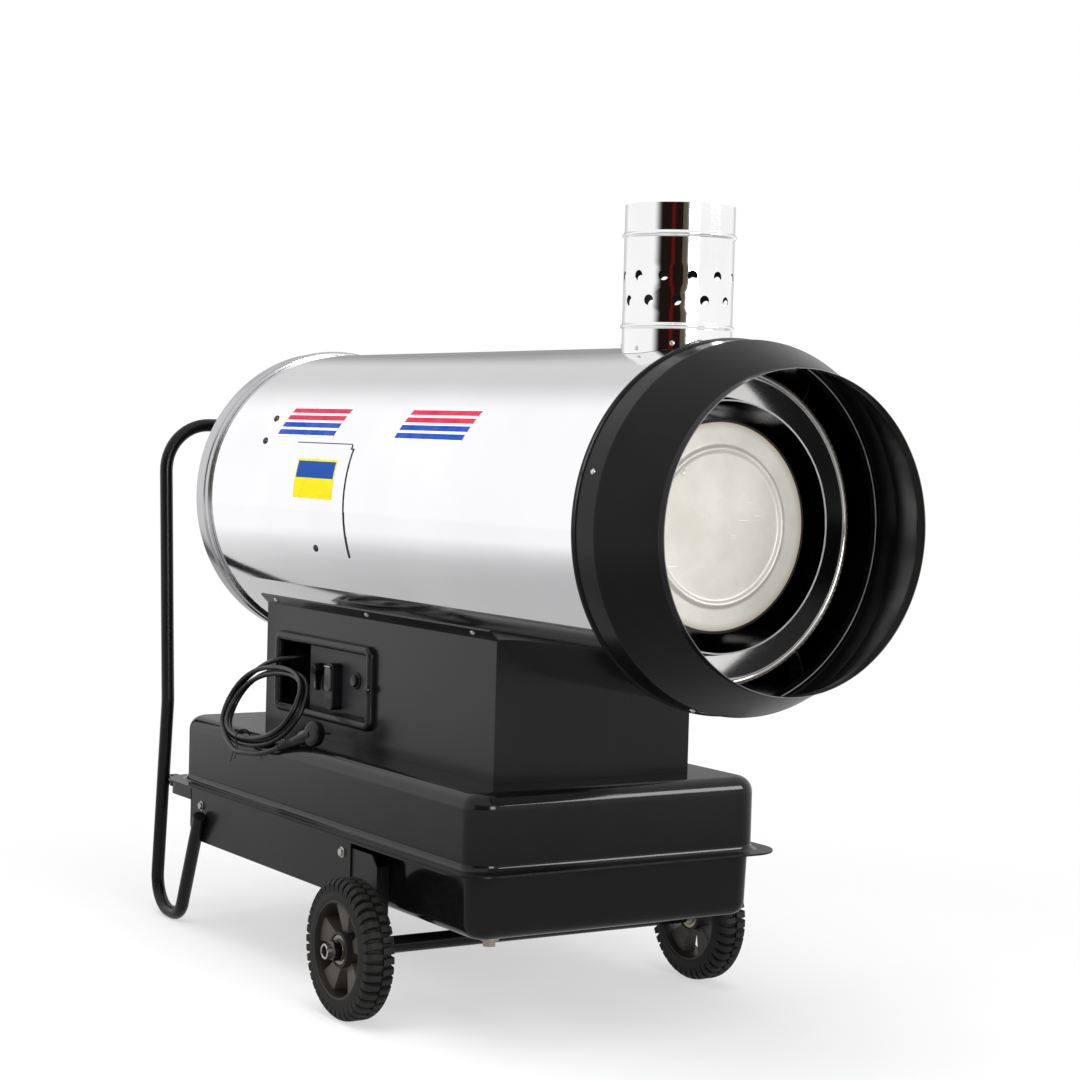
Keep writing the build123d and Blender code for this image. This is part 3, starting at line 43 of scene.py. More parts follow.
def place(x, side, height):  # from the drum's rear face, its middle plane and its axis
    return Vector((drumRear + x / 1000, side / 1000, axisHeight + height / 1000))


print("stage: shader maths")


def operator(operation):
    return lambda wire, other: wire.maths(operation, other)


class Wire:
    __add__, __sub__, __mul__ = operator("ADD"), operator("SUBTRACT"), operator("MULTIPLY")
    __truediv__, __pow__ = operator("DIVIDE"), operator("POWER")
    __lt__, __gt__ = operator("LESS_THAN"), operator("GREATER_THAN")

    def __init__(self, tree, socket=None):
        self.tree = tree
        self.socket = socket

    def node(self, kind, values={}, output=0, **settings):
        new = self.tree.nodes.new("ShaderNode" + kind)
        for name, value in settings.items():
            setattr(new, name, value)
        for key, value in values.items():
            if isinstance(value, Wire):
                value.to(new.inputs[key])
            else:
                new.inputs[key].default_value = value
        return Wire(self.tree, new.outputs[output])

    def to(self, socket):
        self.tree.links.new(self.socket, socket)

    def maths(self, operation, *others):
        return self.node("Math", dict(enumerate((self, *others))), operation=operation)

    def __rsub__(self, other):
        return self.node("Math", {0: other, 1: self}, operation="SUBTRACT")

    def rise(self, low, high):  # 0 below low, 1 above high
        return self.node("MapRange", {0: self, 1: low, 2: high}, interpolation_type="SMOOTHSTEP")

    def mixed(self, first, second):  # colours, this wire being the factor
        return self.node("Mix", {0: self, 6: first, 7: second}, 2, data_type="RGBA")

    def parts(self):
        return [self.node("SeparateXYZ", {0: self}, axis) for axis in range(3)]

    def noise(self, scale, detail=3, rough=0.5):
        return self.node("TexNoise", {"Vector": self, "Scale": scale, "Detail": detail, "Roughness": rough})

    def stretched(self, scale, turn=(0, 0, 0)):
        return self.node("Mapping", {"Vector": self, "Rotation": turn, "Scale": scale})


print("stage: materials")

materials = {}


def finish(name, colour, roughness, metallic=0, specular=0.5):
    made = materials[name] = bpy.data.materials.new(name)
    made.use_nodes = True
    tree = made.node_tree
    shader = tree.nodes["Principled BSDF"]
    shader.inputs["Base Color"].default_value = colour
    shader.inputs["Roughness"].default_value = roughness
    shader.inputs["Metallic"].default_value = metallic
    shader.inputs["Specular IOR Level"].default_value = specular
    coords = Wire(tree).node("TexCoord", output=3)

    def feed(socket, wire):
        wire.to(shader.inputs[socket])

    def bump(height, strength, distance):
        feed("Normal", height.node("Bump", {"Strength": strength, "Distance": distance, "Height": height}))

    return coords, feed, bump


def shade(levels):  # thousandths to a colour
    return (*(level / 1000 for level in levels), 1)


plainFinishes = {  # colour, darker shade, roughness, metallic, grain, its strength, specular where it isn't 0.5
    "glossBlack": ((7, 7, 7.8), (5.2, 5.2, 5.8), 0.24, 0, 900, 0.04, 0.22),
    "tankPaint": ((6, 6, 6.4), (4.5, 4.5, 4.7), 0.12, 0, 700, 0.03, 0.21),
    "handlePaint": ((6, 6, 6), (4, 4, 4), 0.28, 0, 900, 0.04, 0.2),
    "conePaint": ((4.5, 4.5, 4.8), (3, 3, 3.2), 0.22, 0, 1400, 0.05, 0.13),
    "satinBlack": ((9, 9, 9.5), (6, 6, 6.5), 0.34, 0, 1400, 0.1, 0.25),
    "blackPlastic": ((7, 7, 7.5), (5, 5, 5.5), 0.34, 0, 2200, 0.08, 0.25),
    "bezelPlastic": ((7, 7, 7.6), (5.5, 5.5, 6), 0.26, 0, 2600, 0.08, 0.24),
    "greyPlate": ((24, 24, 27), (19, 19, 21), 0.42, 0, 1800, 0.06, 0.3),
    # dark steel: black parts, and on the drum's chrome screws a painted dark reflection
    "blackSteelAndDarkReflection": ((100, 100, 105), (50, 50, 53), 0.2, 1, 900, 0.05),
    "buttonPlastic": ((20, 20, 21), (14, 14, 15), 0.3, 0, 2200, 0.05),
    # grey of the socket's lid; on the plug's boot the same grey is a painted highlight
    "lidGreyAndPlugHighlight": ((60, 60, 64), (45, 45, 48), 0.35, 0, 2200, 0.08),
    "markPaint": ((550, 550, 560), (420, 420, 430), 0.5, 0, 2200, 0.05),
    "dialPaint": ((620, 620, 600), (520, 520, 500), 0.45, 0, 900, 0.03),
    "needlePaint": ((450, 20, 20), (320, 14, 14), 0.45, 0, 900, 0.03),
    "tyreRubber": ((12, 11.2, 10.6), (7, 6.6, 6.2), 0.66, 0, 420, 0.3, 0.28),
    "cordRubber": ((7, 7, 7.4), (5, 5, 5.2), 0.32, 0, 900, 0.1, 0.35),
    # the rim's one plastic in a darker copy on barrel and hub and a lighter copy on the spokes: painted shade and
    # painted light
    "rimPlasticShadedCopy": ((22, 19, 17), (13, 11, 10), 0.45, 0, 500, 0.2, 0.3),
    "rimPlasticLitCopy": ((78, 68, 61), (45, 39, 35), 0.45, 0, 500, 0.25, 0.35),
    "zincSteel": ((620, 610, 580), (450, 440, 420), 0.24, 1, 900, 0.06),
    "bearingSteel": ((340, 330, 260), (220, 210, 160), 0.3, 1, 900, 0.06),
    # grey metal for the mouth's lip ring: painted highlight
    "lipHighlightGrey": ((340, 340, 350), (160, 160, 165), 0.35, 1, 300, 0.1),
    # pale grey for thin rings standing for highlight lines on rims: painted highlight
    "paleRingHighlight": ((720, 720, 730), (550, 550, 560), 0.32, 0.35, 300, 0.05),
    "sootSteel": ((35, 31, 27), (12, 10, 9), 0.45, 0.6, 200, 0.1),
    "plugPlastic": ((4.5, 4.5, 4.8), (3.5, 3.5, 3.8), 0.26, 0, 1500, 0.06, 0.25),
    "castAlloy": ((550, 550, 560), (420, 420, 430), 0.45, 1, 500, 0.25),
    "brassFitting": ((700, 520, 240), (500, 360, 160), 0.35, 1, 500, 0.1),
    "drainBrass": ((460, 420, 340), (300, 270, 210), 0.38, 0.9, 500, 0.12),
    "burntWeld": ((280, 240, 190), (60, 35, 20), 0.5, 0.9, 180, 0.3),
    "burntBand": ((45, 26, 14), (14, 9, 6), 0.5, 0.4, 160, 0.3),
}
for name, (colour, dark, roughness, metallic, grain, strength, *specular) in plainFinishes.items():
    coords, feed, bump = finish(name, shade(colour), roughness, metallic, *specular)
    cloud, fine = coords.noise(7, 4), coords.noise(grain, 2)
    feed("Base Color", cloud.rise(0.35, 0.7).mixed(shade(dark), shade(colour)))
    feed("Roughness", cloud * 0.12 + fine * 0.08 + (roughness - 0.1))
    bump(fine, strength, 0.0004)

brushedSteels = {  # colour, darker shade, roughness, stretch of the brushed lines, their strength
    "polishedSheet": ((860, 860, 875), (810, 810, 825), 0.075, (3, 400, 400), 0.02),
    "trimSteel": ((520, 520, 530), (400, 400, 410), 0.2, (3, 400, 400), 0.02),
    "mirrorPipe": ((840, 840, 840), (760, 760, 760), 0.06, (300, 300, 3), 0.02),
    "innerSteel": ((660, 660, 660), (500, 490, 480), 0.09, (30, 300, 300), 0.03),
}
for name, (colour, dark, roughness, stretch, strength) in brushedSteels.items():
    coords, feed, bump = finish(name, shade(colour), roughness, 1)
    lines, cloud = coords.stretched(stretch).noise(1, 3, 0.7), coords.noise(4, 3)
    feed("Base Color", cloud.rise(0.3, 0.75).mixed(shade(dark), shade(colour)))
    feed("Roughness", lines * 0.08 + cloud * 0.04 + (roughness - 0.06))
    bump(lines, strength, 0.00015)


def discFinish():  # pale sheet, dull in the middle, a few scratches, heat tint towards its rim
    coords, feed, bump = finish("discSteel", (0.7, 0.69, 0.62, 1), 0.45, 0.55)
    x, y, z = coords.parts()
    height = z - axisHeight
    reach = (y * y + height * height) ** 0.5
    cloud = coords.noise(9, 5, 0.6)
    scratch = coords.stretched((10, 26, 700), (0.25, 0, 0)).noise(1, 2)
    marks = (scratch > 0.7) * (coords.noise(14, 1) > 0.55)
    pale = cloud.rise(0.3, 0.7).mixed((0.6, 0.58, 0.52, 1), (0.72, 0.7, 0.64, 1))
    tinted = reach.rise(0.128, 0.14).mixed(pale, (0.5, 0.45, 0.36, 1))
    feed("Base Color", marks.mixed(tinted, (0.9, 0.89, 0.85, 1)))
    feed("Roughness", cloud * 0.15 + 0.38)
    feed("Metallic", cloud * 0.15 + 0.2)
    bump(scratch, 0.08, 0.0003)


def drumCoords(coords):  # along the drum, and degrees over the control side's horizontal
    x, y, z = coords.parts()
    return x, (z - axisHeight).maths("ARCTAN2", 0 - y) * degrees(1)


def stripeFilm():  # two red bars over two blue ones on white film
    coords, feed, bump = finish("stripeFilm", (0.85, 0.85, 0.87, 1), 0.35, specular=0.02)
    x, turn = drumCoords(coords)
    level = (turn - 25.6) / 12.7
    bar = (level * 4).maths("FRACT")
    painted = (bar > 0.08) * (bar < 0.76) * (level > 0) * (level < 1)
    ink = (level > 0.5).mixed((0.001, 0.052, 0.4, 1), (0.56, 0.012, 0.055, 1))
    fade = coords.noise(30, 2)
    feed("Base Color", (painted * (fade * 0.1 + 0.93)).mixed((0.88, 0.88, 0.9, 1), ink))
    feed("Roughness", fade * 0.1 + 0.3)


def labelFilm():  # blank label: a blue band over a yellow field
    coords, feed, bump = finish("labelFilm", (0.85, 0.72, 0.02, 1), 0.35, specular=0.02)
    x, turn = drumCoords(coords)
    middle, halfWidth = drumRear + 0.4215, 0.0625
    border = (turn > 15.7) + ((x - middle).maths("ABSOLUTE") > halfWidth)
    band = (turn > 9.4) * (border < 0.5)
    fade = coords.noise(40, 2)
    yellow = fade.rise(0.3, 0.7).mixed((0.8, 0.67, 0.012, 1), (0.88, 0.74, 0.02, 1))
    feed("Base Color", band.mixed(yellow, (0.016, 0.075, 0.34, 1)))
    feed("Roughness", fade * 0.1 + 0.3)


discFinish()
stripeFilm()
labelFilm()

wears = {  # parts that show their own shape
    "polishedSheet": ("drum_upper_shell", "drum_lower_shell", "access_panel"),
    "conePaint": ("front_hoop",),
    "mirrorPipe": ("flue_collar",),
    "innerSteel": ("combustion_chamber", "gas_ducts", "blast_tube"),
    "sootSteel": ("exchanger_spacers",),
    "satinBlack": ("motor_bracket", "burner_motor", "axle_brackets"),
    "zincSteel": ("motor_shaft", "nozzle_holder"),
    "castAlloy": ("burner_housing", "blower_wheel", "fuel_pump"),
    "blackPlastic": ("ignition_transformer", "control_unit"),
    "glossBlack": ("control_box",),
    "greyPlate": ("control_plate",),
    "brassFitting": ("tank_pickup",),
    "cordRubber": ("fuel_hoses",),
}
for name, nodes in wears.items():
    for node in nodes:
        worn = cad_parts[node].data.materials
        worn.clear()
        worn.append(materials[name])

print("stage: tools")

ops = bmesh.ops


def polar(radius, degree):
    return radius * cos(radians(degree)), radius * sin(radians(degree))


def facing(origin, outward, upward=(0, 0, 1)):  # local z looks outward, local y upward
    forward = Vector(outward).normalized()
    across = Vector(upward).cross(forward).normalized()
    return Matrix.Translation(origin) @ Matrix((across, forward.cross(across), forward)).transposed().to_4x4()


def onSide(x, side, height):  # looks away from the middle plane
    return facing(place(x, side, height), (0, side, 0))


def onDrum(x, turn, radius):  # turn in degrees over the control side's horizontal
    out, up = polar(radius, turn)
    return facing(place(x, -out, up), (0, -out, up), (1, 0, 0))


def swung(at, turn, x=0, y=0, z=0):  # turned about its z, then shifted
    return at @ Matrix.Rotation(turn, 4, "Z") @ Matrix.Translation(Vector((x, y, z)) / 1000)


xAxis = facing(place(0, 0, 0), (1, 0, 0))  # heights along the drum, from its rear face


def linked(name, data):
    made = bpy.data.objects.new(name, data)
    bpy.context.collection.objects.link(made)
    return made


def meshOf(name, form):
    mesh = bpy.data.meshes.new(name)
    form.to_mesh(mesh)
    form.free()
    return mesh


def build(name, form, material, crease=32, body="heater"):
    ops.remove_doubles(form, verts=form.verts, dist=2e-6)
    form.normal_update()
    for edge in form.edges:
        edge.smooth = len(edge.link_faces) == 2 and edge.calc_face_angle(0) < radians(crease)
    for face in form.faces:
        face.smooth = True
    made = linked(name, meshOf(name, form))
    made.data.materials.append(materials[material])
    made.modifiers.new("evenedNormals", "WEIGHTED_NORMAL").keep_sharp = True
    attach(made, body)
    return made


def only(kind, geom):
    return [item for item in geom if isinstance(item, kind)]


def facesOf(verts):
    return list({face for vert in verts for face in vert.link_faces})


def edgesOf(verts):
    return list({edge for vert in verts for edge in vert.link_edges})


def rounded(form, edges, offset, segments=2):
    offset = offset / 1000
    return ops.bevel(form, geom=edges, offset=offset, segments=segments, profile=0.5, affect="EDGES", material=-1)


def outwards(form):
    ops.recalc_face_normals(form, faces=form.faces)


def strung(form, spots, closed=True):  # verts at the spots and the edges between them
    verts = [form.verts.new(spot) for spot in spots]
    return verts, [form.edges.new(pair) for pair in zip(verts, verts[1:] + verts[:closed])]


def bridged(form, lines, closed=True):  # sheet between lines of spots
    loops = [strung(form, line, closed)[1] for line in lines]
    for first, second in zip(loops, loops[1:]):
        ops.bridge_loops(form, edges=first + second)


def softCorners(halfX, halfY, corner, parts):  # a rounded rectangle about its middle
    spots = []
    for signX, signY, first in ((1, 1, 0), (-1, 1, 90), (-1, -1, 180), (1, -1, 270)):
        for part in range(parts + 1):
            turn = radians(first + 90 * part / parts)
            x, y = signX * (halfX - corner), signY * (halfY - corner)
            spots.append((x + corner * cos(turn), y + corner * sin(turn)))
    return spots


def mirrored(half, middle=()):  # an outline and its mirror image over height 0
    return [*half, *middle] + [(radius, -height) for radius, height in reversed(half)]


def turned(form, outline, at, steps, closed=True, arc=360, start=0):  # outline of (radius, height)
    old = set(form.faces)

    def fresh():
        return [face for face in form.faces if face not in old]

    at = at @ Matrix.Rotation(radians(start), 4, "Z")
    verts, edges = strung(form, [at @ (Vector((radius, 0, height)) / 1000) for radius, height in outline], closed)
    ops.spin(
        form, geom=verts + edges, cent=at.translation, axis=at.to_3x3() @ Vector((0, 0, 1)),
        angle=radians(arc), steps=steps, use_merge=arc == 360,
    )
    if closed and arc != 360:
        ops.holes_fill(form, edges=list({e for f in fresh() for e in f.edges if len(e.link_faces) == 1}))
    ops.remove_doubles(form, verts=list({vert for face in fresh() for vert in face.verts}), dist=1e-6)
    ops.recalc_face_normals(form, faces=fresh())


def lathed(outline, at, steps, closed=True):
    form = bmesh.new()
    turned(form, outline, at, steps, closed)
    return form


def block(form, at, size, edge=0, segments=2):
    made = ops.create_cube(form, size=1, matrix=at @ Matrix.Diagonal((*(Vector(size) / 1000), 1)))["verts"]
    if edge:
        rounded(form, edgesOf(made), edge, segments)


def slab(at, size, corner, edges, segments, draft=0):  # rounded in plan, then its top and foot edges
    length, width, depth = Vector(size) / 1000
    form = bmesh.new()
    ops.create_cube(form, size=1, matrix=Matrix.Diagonal((length, width, depth, 1)))
    rounded(form, [e for e in form.edges if abs(e.verts[0].co.z - e.verts[1].co.z) > depth / 2], corner, segments[0])
    for sign, edge in zip((1, -1), edges):
        if edge:
            ring = [e for e in form.edges if all(vert.co.z * sign > depth / 2 - 1e-6 for vert in e.verts)]
            rounded(form, ring, edge, segments[1])
    for vert in form.verts:
        inset = draft * (depth / 2 - vert.co.z)
        vert.co.x *= 1 - 2 * inset / length
        vert.co.y *= 1 - 2 * inset / width
        vert.co = at @ vert.co
    outwards(form)
    return form


def carry(form, mesh):
    form.from_mesh(mesh)
    bpy.data.meshes.remove(mesh)


def routed(name, spots, radius, kind, resolution):
    data = bpy.data.curves.new(name, "CURVE")
    data.dimensions = "3D"
    data.bevel_depth = radius / 1000
    data.bevel_resolution = resolution
    data.use_fill_caps = True
    line = data.splines.new(kind)
    line.points.add(len(spots) - 1)
    for point, spot in zip(line.points, spots):
        point.co = (*spot, 1)
    return data, line


def piped(form, spots, radius, sides=8, closed=False):
    data, line = routed("route", spots, radius, "POLY", sides // 4 - 1)
    line.use_cyclic_u = closed
    carrier = bpy.data.objects.new("route", data)
    carry(form, bpy.data.meshes.new_from_object(carrier))
    bpy.data.objects.remove(carrier)
    bpy.data.curves.remove(data)


def bentRoute(points, radii, steps):  # straight runs joined by tangent arcs
    spots = [points[0]]
    for before, at, after, radius in zip(points, points[1:], points[2:], radii):
        come, leave = (at - before).normalized(), (after - at).normalized()
        turn = come.angle(leave)
        start = at - come * radius / 1000 * tan(turn / 2)
        pivot = come.cross(leave).normalized()
        centre = start + pivot.cross(come) * radius / 1000
        for step in range(steps + 1):
            spots.append(centre + Matrix.Rotation(turn * step / steps, 3, pivot) @ (start - centre))
    return spots + [points[-1]]


def panScrews(name, spots, radius, height, steps, material="zincSteel", recess=True):
    dome = ((0, 1), (0.35, 0.98), (0.7, 0.8), (0.94, 0.42), (1, 0), (0.9, -0.2), (0, -0.2))
    form = bmesh.new()
    for at in spots:
        turned(form, [(radius * out, height * up) for out, up in dome], at, steps, False)
        for turn in (0, pi / 2) if recess else ():
            block(form, swung(at, turn, z=height * 0.93), (radius * 1.05, radius * 0.24, height * 0.16))
    build(name, form, material)


def hexBody(form, at, radius, height, edge):
    foot = ops.create_circle(form, cap_ends=True, segments=6, radius=radius / 1000, matrix=at)["verts"]
    top = ops.extrude_face_region(form, geom=facesOf(foot))["geom"]
    lift = at.to_3x3() @ Vector((0, 0, height / 1000))
    ops.translate(form, verts=only(bmesh.types.BMVert, top), vec=lift)
    rounded(form, list({line for face in only(bmesh.types.BMFace, top) for line in face.edges}), edge)


def gripRing(form, at, radius, height, deep, wide):  # a low rib round a strain relief
    foot, crest = radius - deep, 0.4
    outline = [(foot, height), (radius, height + crest), (radius, height + wide - crest), (foot, height + wide)]
    turned(form, outline, at, 28)


print("stage: flue")

flue = {
    "x": 1033, "radius": 75, "wall": 0.8, "top": 430, "beads": (266, 389), "beadHeight": 3,
    "foot": 227,  # below it the sheet ends on the drum's skin
    "rows": ((300, -7), (333, -21)), "rowHeight": 33, "hole": 7,  # height and first angle of the air holes
    "screws": (-81, -40, 9, 50, 99, 140, 189, 230), "screwRise": 7,
}


def drumSkin(side):  # its height over the axis
    return sqrt(drumRadius**2 - side * side)


def fluePoint(turn, height):
    out, side = polar(flue["radius"], turn)
    return place(flue["x"] + out, side, height)


def holedCell(form, turn, height):  # sheet from an air hole out to the rim of its cell
    around, tall = 15, flue["rowHeight"] / 2
    degree = degrees(1 / flue["radius"])
    half = [(2 * step - around, -tall) for step in range(around)]
    half += [(around, tall / 6 * step - tall) for step in range(12)]
    lines = []
    for share in (0, 0.12, 0.45, 1):
        spots = []
        for u, v in half + [(-u, -v) for u, v in half]:
            angle = atan2(v, u / degree)
            holeU, holeV = flue["hole"] * cos(angle) * degree, flue["hole"] * sin(angle)
            spots.append(fluePoint(turn + holeU + (u - holeU) * share, height + holeV + (v - holeV) * share))
        lines.append(spots)
    bridged(form, lines)


def beadLine(height):
    rise = flue["beadHeight"]
    return [(rise * (0.5 + 0.5 * cos(radians(turn))), height + rise * turn / 120) for turn in range(-180, 181, 20)]


def flueForm():
    form = bmesh.new()
    for height, first in flue["rows"]:
        for hole in range(12):
            holedCell(form, first + 30 * hole, height)
    (lowRow, _), (highRow, _) = flue["rows"]
    lowest, highest = lowRow - flue["rowHeight"] / 2, highRow + flue["rowHeight"] / 2
    foot = [(0, 226), (0, 250), *beadLine(flue["beads"][0]), (0, lowest)]
    head = [(0, highest), (0, 370), *beadLine(flue["beads"][1]), (0, 410), (0, flue["top"])]
    upright = facing(place(flue["x"], 0, 0), (0, 0, 1), (0, 1, 0))
    for line in (foot, head):
        turned(form, [(flue["radius"] + rise, height) for rise, height in line], upright, 180, False)
    ops.remove_doubles(form, verts=form.verts, dist=2e-5)
    for vert in form.verts:
        if vert.co.z < place(0, 0, flue["foot"]).z:
            vert.co.z = place(0, 0, drumSkin(1000 * vert.co.y)).z
    outwards(form)
    ops.solidify(form, geom=form.faces[:], thickness=flue["wall"] / 1000)
    return form


def flueScrew(turn):
    out, side = polar(flue["radius"], turn)
    return facing(fluePoint(turn, drumSkin(side) + flue["screwRise"]), (out, side, 0))


fluePiece = build("fluePipe", flueForm(), "mirrorPipe", 50)
fluePiece.data.materials.append(materials["sootSteel"])
flueAxis = place(flue["x"], 0, 0)
for face in fluePiece.data.polygons:
    if face.normal.x * (face.center.x - flueAxis.x) + face.normal.y * face.center.y < -0.01:
        face.material_index = 1
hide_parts("flue_pipe")
panScrews("flueScrews", map(flueScrew, flue["screws"]), 3.4, 1.6, 12, recess=False)

print("stage: outlet cone")

coneLine = [  # lip, band, cone and mouth, then back inside
    (245.8, 1166), (249, 1166), (250, 1167), (250, 1170.2), (249.6, 1171), (247.5, 1171.6), (247, 1172.4), (247, 1213),
    (246.5, 1216), (244.8, 1219), (212.4, 1297.4), (210.6, 1300), (210, 1303), (210, 1313.4), (209.7, 1314.6),
    (209.4, 1315), (209.1, 1314.7), (208.8, 1313.6), (208.8, 1303), (209.2, 1299.4), (211, 1296.8), (243.6, 1218.2),
    (245.3, 1215.4), (245.8, 1212.6),
]
conePiece = build("outletCone", lathed(coneLine, xAxis, 192), "conePaint", 24)
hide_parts("outlet_cone")
# grey metal ring along the black mouth's lip: painted highlight line
mouthHighlightLine = [(209.95, 1314.2), (209.6, 1315), (209.2, 1315), (208.9, 1314.4)]
build("mouthHighlight", lathed(mouthHighlightLine, xAxis, 192), "lipHighlightGrey")


def band(inner, outer, near, far):
    return [(inner, near), (inner, far), (outer, far), (outer, near)]


seamForm = bmesh.new()
turned(seamForm, [(244.9, 1217.5), (210.2, 1297), (209.6, 1297), (244.2, 1217.5)], xAxis, 8, arc=5, start=-1)
turned(seamForm, band(244.6, 245.8, 1173.5, 1212), xAxis, 4, arc=1.1, start=178)
build("coneSeam", seamForm, "conePaint")
panScrews("coneScrews", [onDrum(1194, turn, 247) for turn in (16.8, 106.8, 196.8, 286.8)], 4.2, 2.6, 14)

print("stage: exchanger and disc")

rimRound = [(209 + 2.9 * cos(radians(turn)), 1148 + 3 * sin(radians(turn))) for turn in range(-80, 181, 20)]
shellInside = [
    (205.6, 1149.4), (204.4, 1149), (202, 1148.6), (200.6, 1148.4), (172.8, 1144.2), (171.5, 1144), (169.4, 1145),
    (169, 1147), (169, 1158.4), (168.6, 1159), (167.8, 1159), (167.4, 1158.4), (167.4, 600),
]
shellLine = [(168, 600), (209, 600), (209, 1143), *rimRound, *shellInside]
exchangerPiece = build("exchangerShell", lathed(shellLine, xAxis, 160), "innerSteel")
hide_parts("heat_exchanger")

weld = {"beads": 150, "radius": 212.6, "x": 1149, "size": (0.0016, 0.0052, 0.0019, 1)}
weldForm = bmesh.new()
for bead in range(weld["beads"]):
    at = swung(xAxis, 2 * pi * bead / weld["beads"], weld["radius"], 0, weld["x"]) @ Matrix.Diagonal(weld["size"])
    ops.create_icosphere(weldForm, subdivisions=1, radius=1, matrix=at)
build("rimWeld", weldForm, "burntWeld", 70)

# pale thin rings on the exchanger's rims and the hoop's front edge: painted highlight lines
highlightRingForms = bmesh.new()
for rings, low, high, steps in (
    ((169.35, 169, 167.6, 167.1), 1158.3, 1159.5, 160), ((209.9, 209.5, 208.9, 208.6), 1150.6, 1151.4, 160),
    ((206.2, 205.8, 205, 204.6), 1149.4, 1150.5, 160), ((243.6, 243.3, 242.5, 242.2), 1174.1, 1175, 192),
):
    turned(highlightRingForms, zip(rings, (low, high, high, low)), xAxis, steps)
build("ringHighlights", highlightRingForms, "paleRingHighlight")

brownLine = [(140.6, 1138.4), (142.8, 1140.5), (142.8, 1141.6), (139.6, 1141.8), (139.6, 1138.4)]
build("discBand", lathed(brownLine, xAxis, 128), "burntBand")

crown = [(104 + 7 * turn / 90, 1142 + 4 * cos(radians(turn)) ** 2) for turn in range(90, -91, -15)]
discLine = [(139.5, 1140), (139.5, 1141.4), (138.9, 1142), (113, 1142), *crown, (94, 1142), (0, 1142), (0, 1140)]
discPiece = build("endDisc", lathed(discLine, xAxis, 128, False), "discSteel", 40)
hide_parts("chamber_end_disc")
dimpleLine = [(0, 0.4), (2.4, 0.8), (3.4, 1.2), (4.3, 0.8), (4.8, 0), (0, 0)]
dimpleAt = facing(place(1142, -60, 72), (1, 0, 0))
build("discDimple", lathed(dimpleLine, dimpleAt, 20, False), "discSteel")

print("stage: drum trim and covers")

bead = [(244.6 + 2.1 * cos(radians(turn)), 31 + 3.4 * turn / 90) for turn in range(-90, 91, 18)]
trimLine = [(drumRadius, -0.4), (243.6, -0.4), (244.6, 0.8), (244.6, 26), *bead]
trimLine += [(244.6, 36), (244.6, 44), (244, 45), (drumRadius, 45), (drumRadius, 20)]
trimPiece = build("rearTrim", lathed(trimLine, xAxis, 192), "trimSteel", 40)
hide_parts("rear_trim_ring")

# the drum's screws are chrome; their dark steel colour is a painted reflection of dark surroundings
drumScrews = ((213, 32.6, 240), (213, 147.4, 240), (213, 22.9, 240), (213, 157.1, 240), (420, -16.4, 241.2))
panScrews("drumScrews", [onDrum(*spot) for spot in drumScrews], 5.8, 3, 20, "blackSteelAndDarkReflection")


def drumPatch(form, inner, outer, span, turns):  # a patch lying on the drum
    low, high = turns
    turned(form, band(inner, outer, *span), xAxis, 12, arc=high - low, start=180 - high)


# dark strips along the panel's top and right edges: painted shade of the gap round its rim
gapShadeForm = bmesh.new()
for span, turns in (
    ((523, 524.3), (-18.7, 21)), ((523, 525.4), (-18.7, -2)), ((523, 526.6), (-18.7, -11)),
    ((332, 514), (22.55, 22.95)), ((514, 523.6), (20.8, 21.2)),
):
    drumPatch(gapShadeForm, 240, 240.9, span, turns)
build("panelGapShade", gapShadeForm, "blackPlastic")


def stickFilm(name, span, turns, radius, material, slant=0):
    form = bmesh.new()
    drumPatch(form, radius, radius + 0.15, span, turns)
    for vert in form.verts:
        turn = degrees(atan2(vert.co.z - axisHeight, -vert.co.y))
        vert.co.x += slant * ((turn - turns[0]) / (turns[1] - turns[0]) - 0.5)
    build(name, form, material)


stickFilm("stripesRear", (254, 447), (25.1, 38.7), 240.05, "stripeFilm", 0.014)
stickFilm("stripesFront", (640, 835), (25.1, 38.7), 240.05, "stripeFilm", 0.014)
stickFilm("blankLabel", (356, 487), (1.9, 16.5), 241.25, "labelFilm")

print("stage: control box")

boxScrews = [onDrum(x, turn, 241.5) for x in (170, 485, 803) for turn in (-43.8, -136.2)]
panScrews("boxScrews", boxScrews, 5, 2.8, 16)

bezel = {
    "length": 330, "height": 131, "middle": (335, -280.5), "face": -167, "screw": (494, -176.6, -280),
    "section": (  # inset, corner, depth over the face
        (0.2, 16, 0.02), (0.2, 16, 3.2), (0.9, 15.4, 6.2), (2.6, 14, 8.6), (5, 12, 9.7), (7.5, 9.6, 9.9), (10, 7, 9.6),
        (12.8, 4.8, 8.4), (14.2, 3.6, 6.4), (15, 3, 3.6), (15, 3, -13.9), (16.5, 2.4, -13.9),
    ),
    "recess": (  # walls and floor of the cord's pocket: x, side, height, then width, tallness and depth
        (183.8, -131, -280.5, 2.4, 106, 72), (255.3, -124, -280.5, 2.4, 106, 54), (219.5, -131, -228.8, 74, 2.4, 72),
        (219.5, -131, -332.2, 74, 2.4, 72), (219.5, -96.3, -280.5, 74, 106, 2.4),
    ),
}


def bezelRing():
    form = bmesh.new()
    middleX, middleZ = bezel["middle"]
    lines = []
    for inset, corner, depth in bezel["section"]:
        rim = softCorners(bezel["length"] / 2 - inset, bezel["height"] / 2 - inset, corner, 8)
        lines.append([place(middleX + x, bezel["face"] - depth, middleZ + z) for x, z in rim])
    bridged(form, lines)
    outwards(form)
    if sum(face.normal.y for face in form.faces if abs(face.normal.y) > 0.9) > 0:
        ops.reverse_faces(form, faces=form.faces)
    for wall in bezel["recess"]:
        block(form, onSide(*wall[:3]), wall[3:])
    return form


bezelPiece = build("bezelFrame", bezelRing(), "bezelPlastic", 50)
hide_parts("control_bezel")
panScrews("bezelScrew", [onSide(*bezel["screw"])], 6.2, 3.2, 20, "blackSteelAndDarkReflection")

print("stage: controls")

knob = {"x": 296, "face": -153.2, "height": -268}


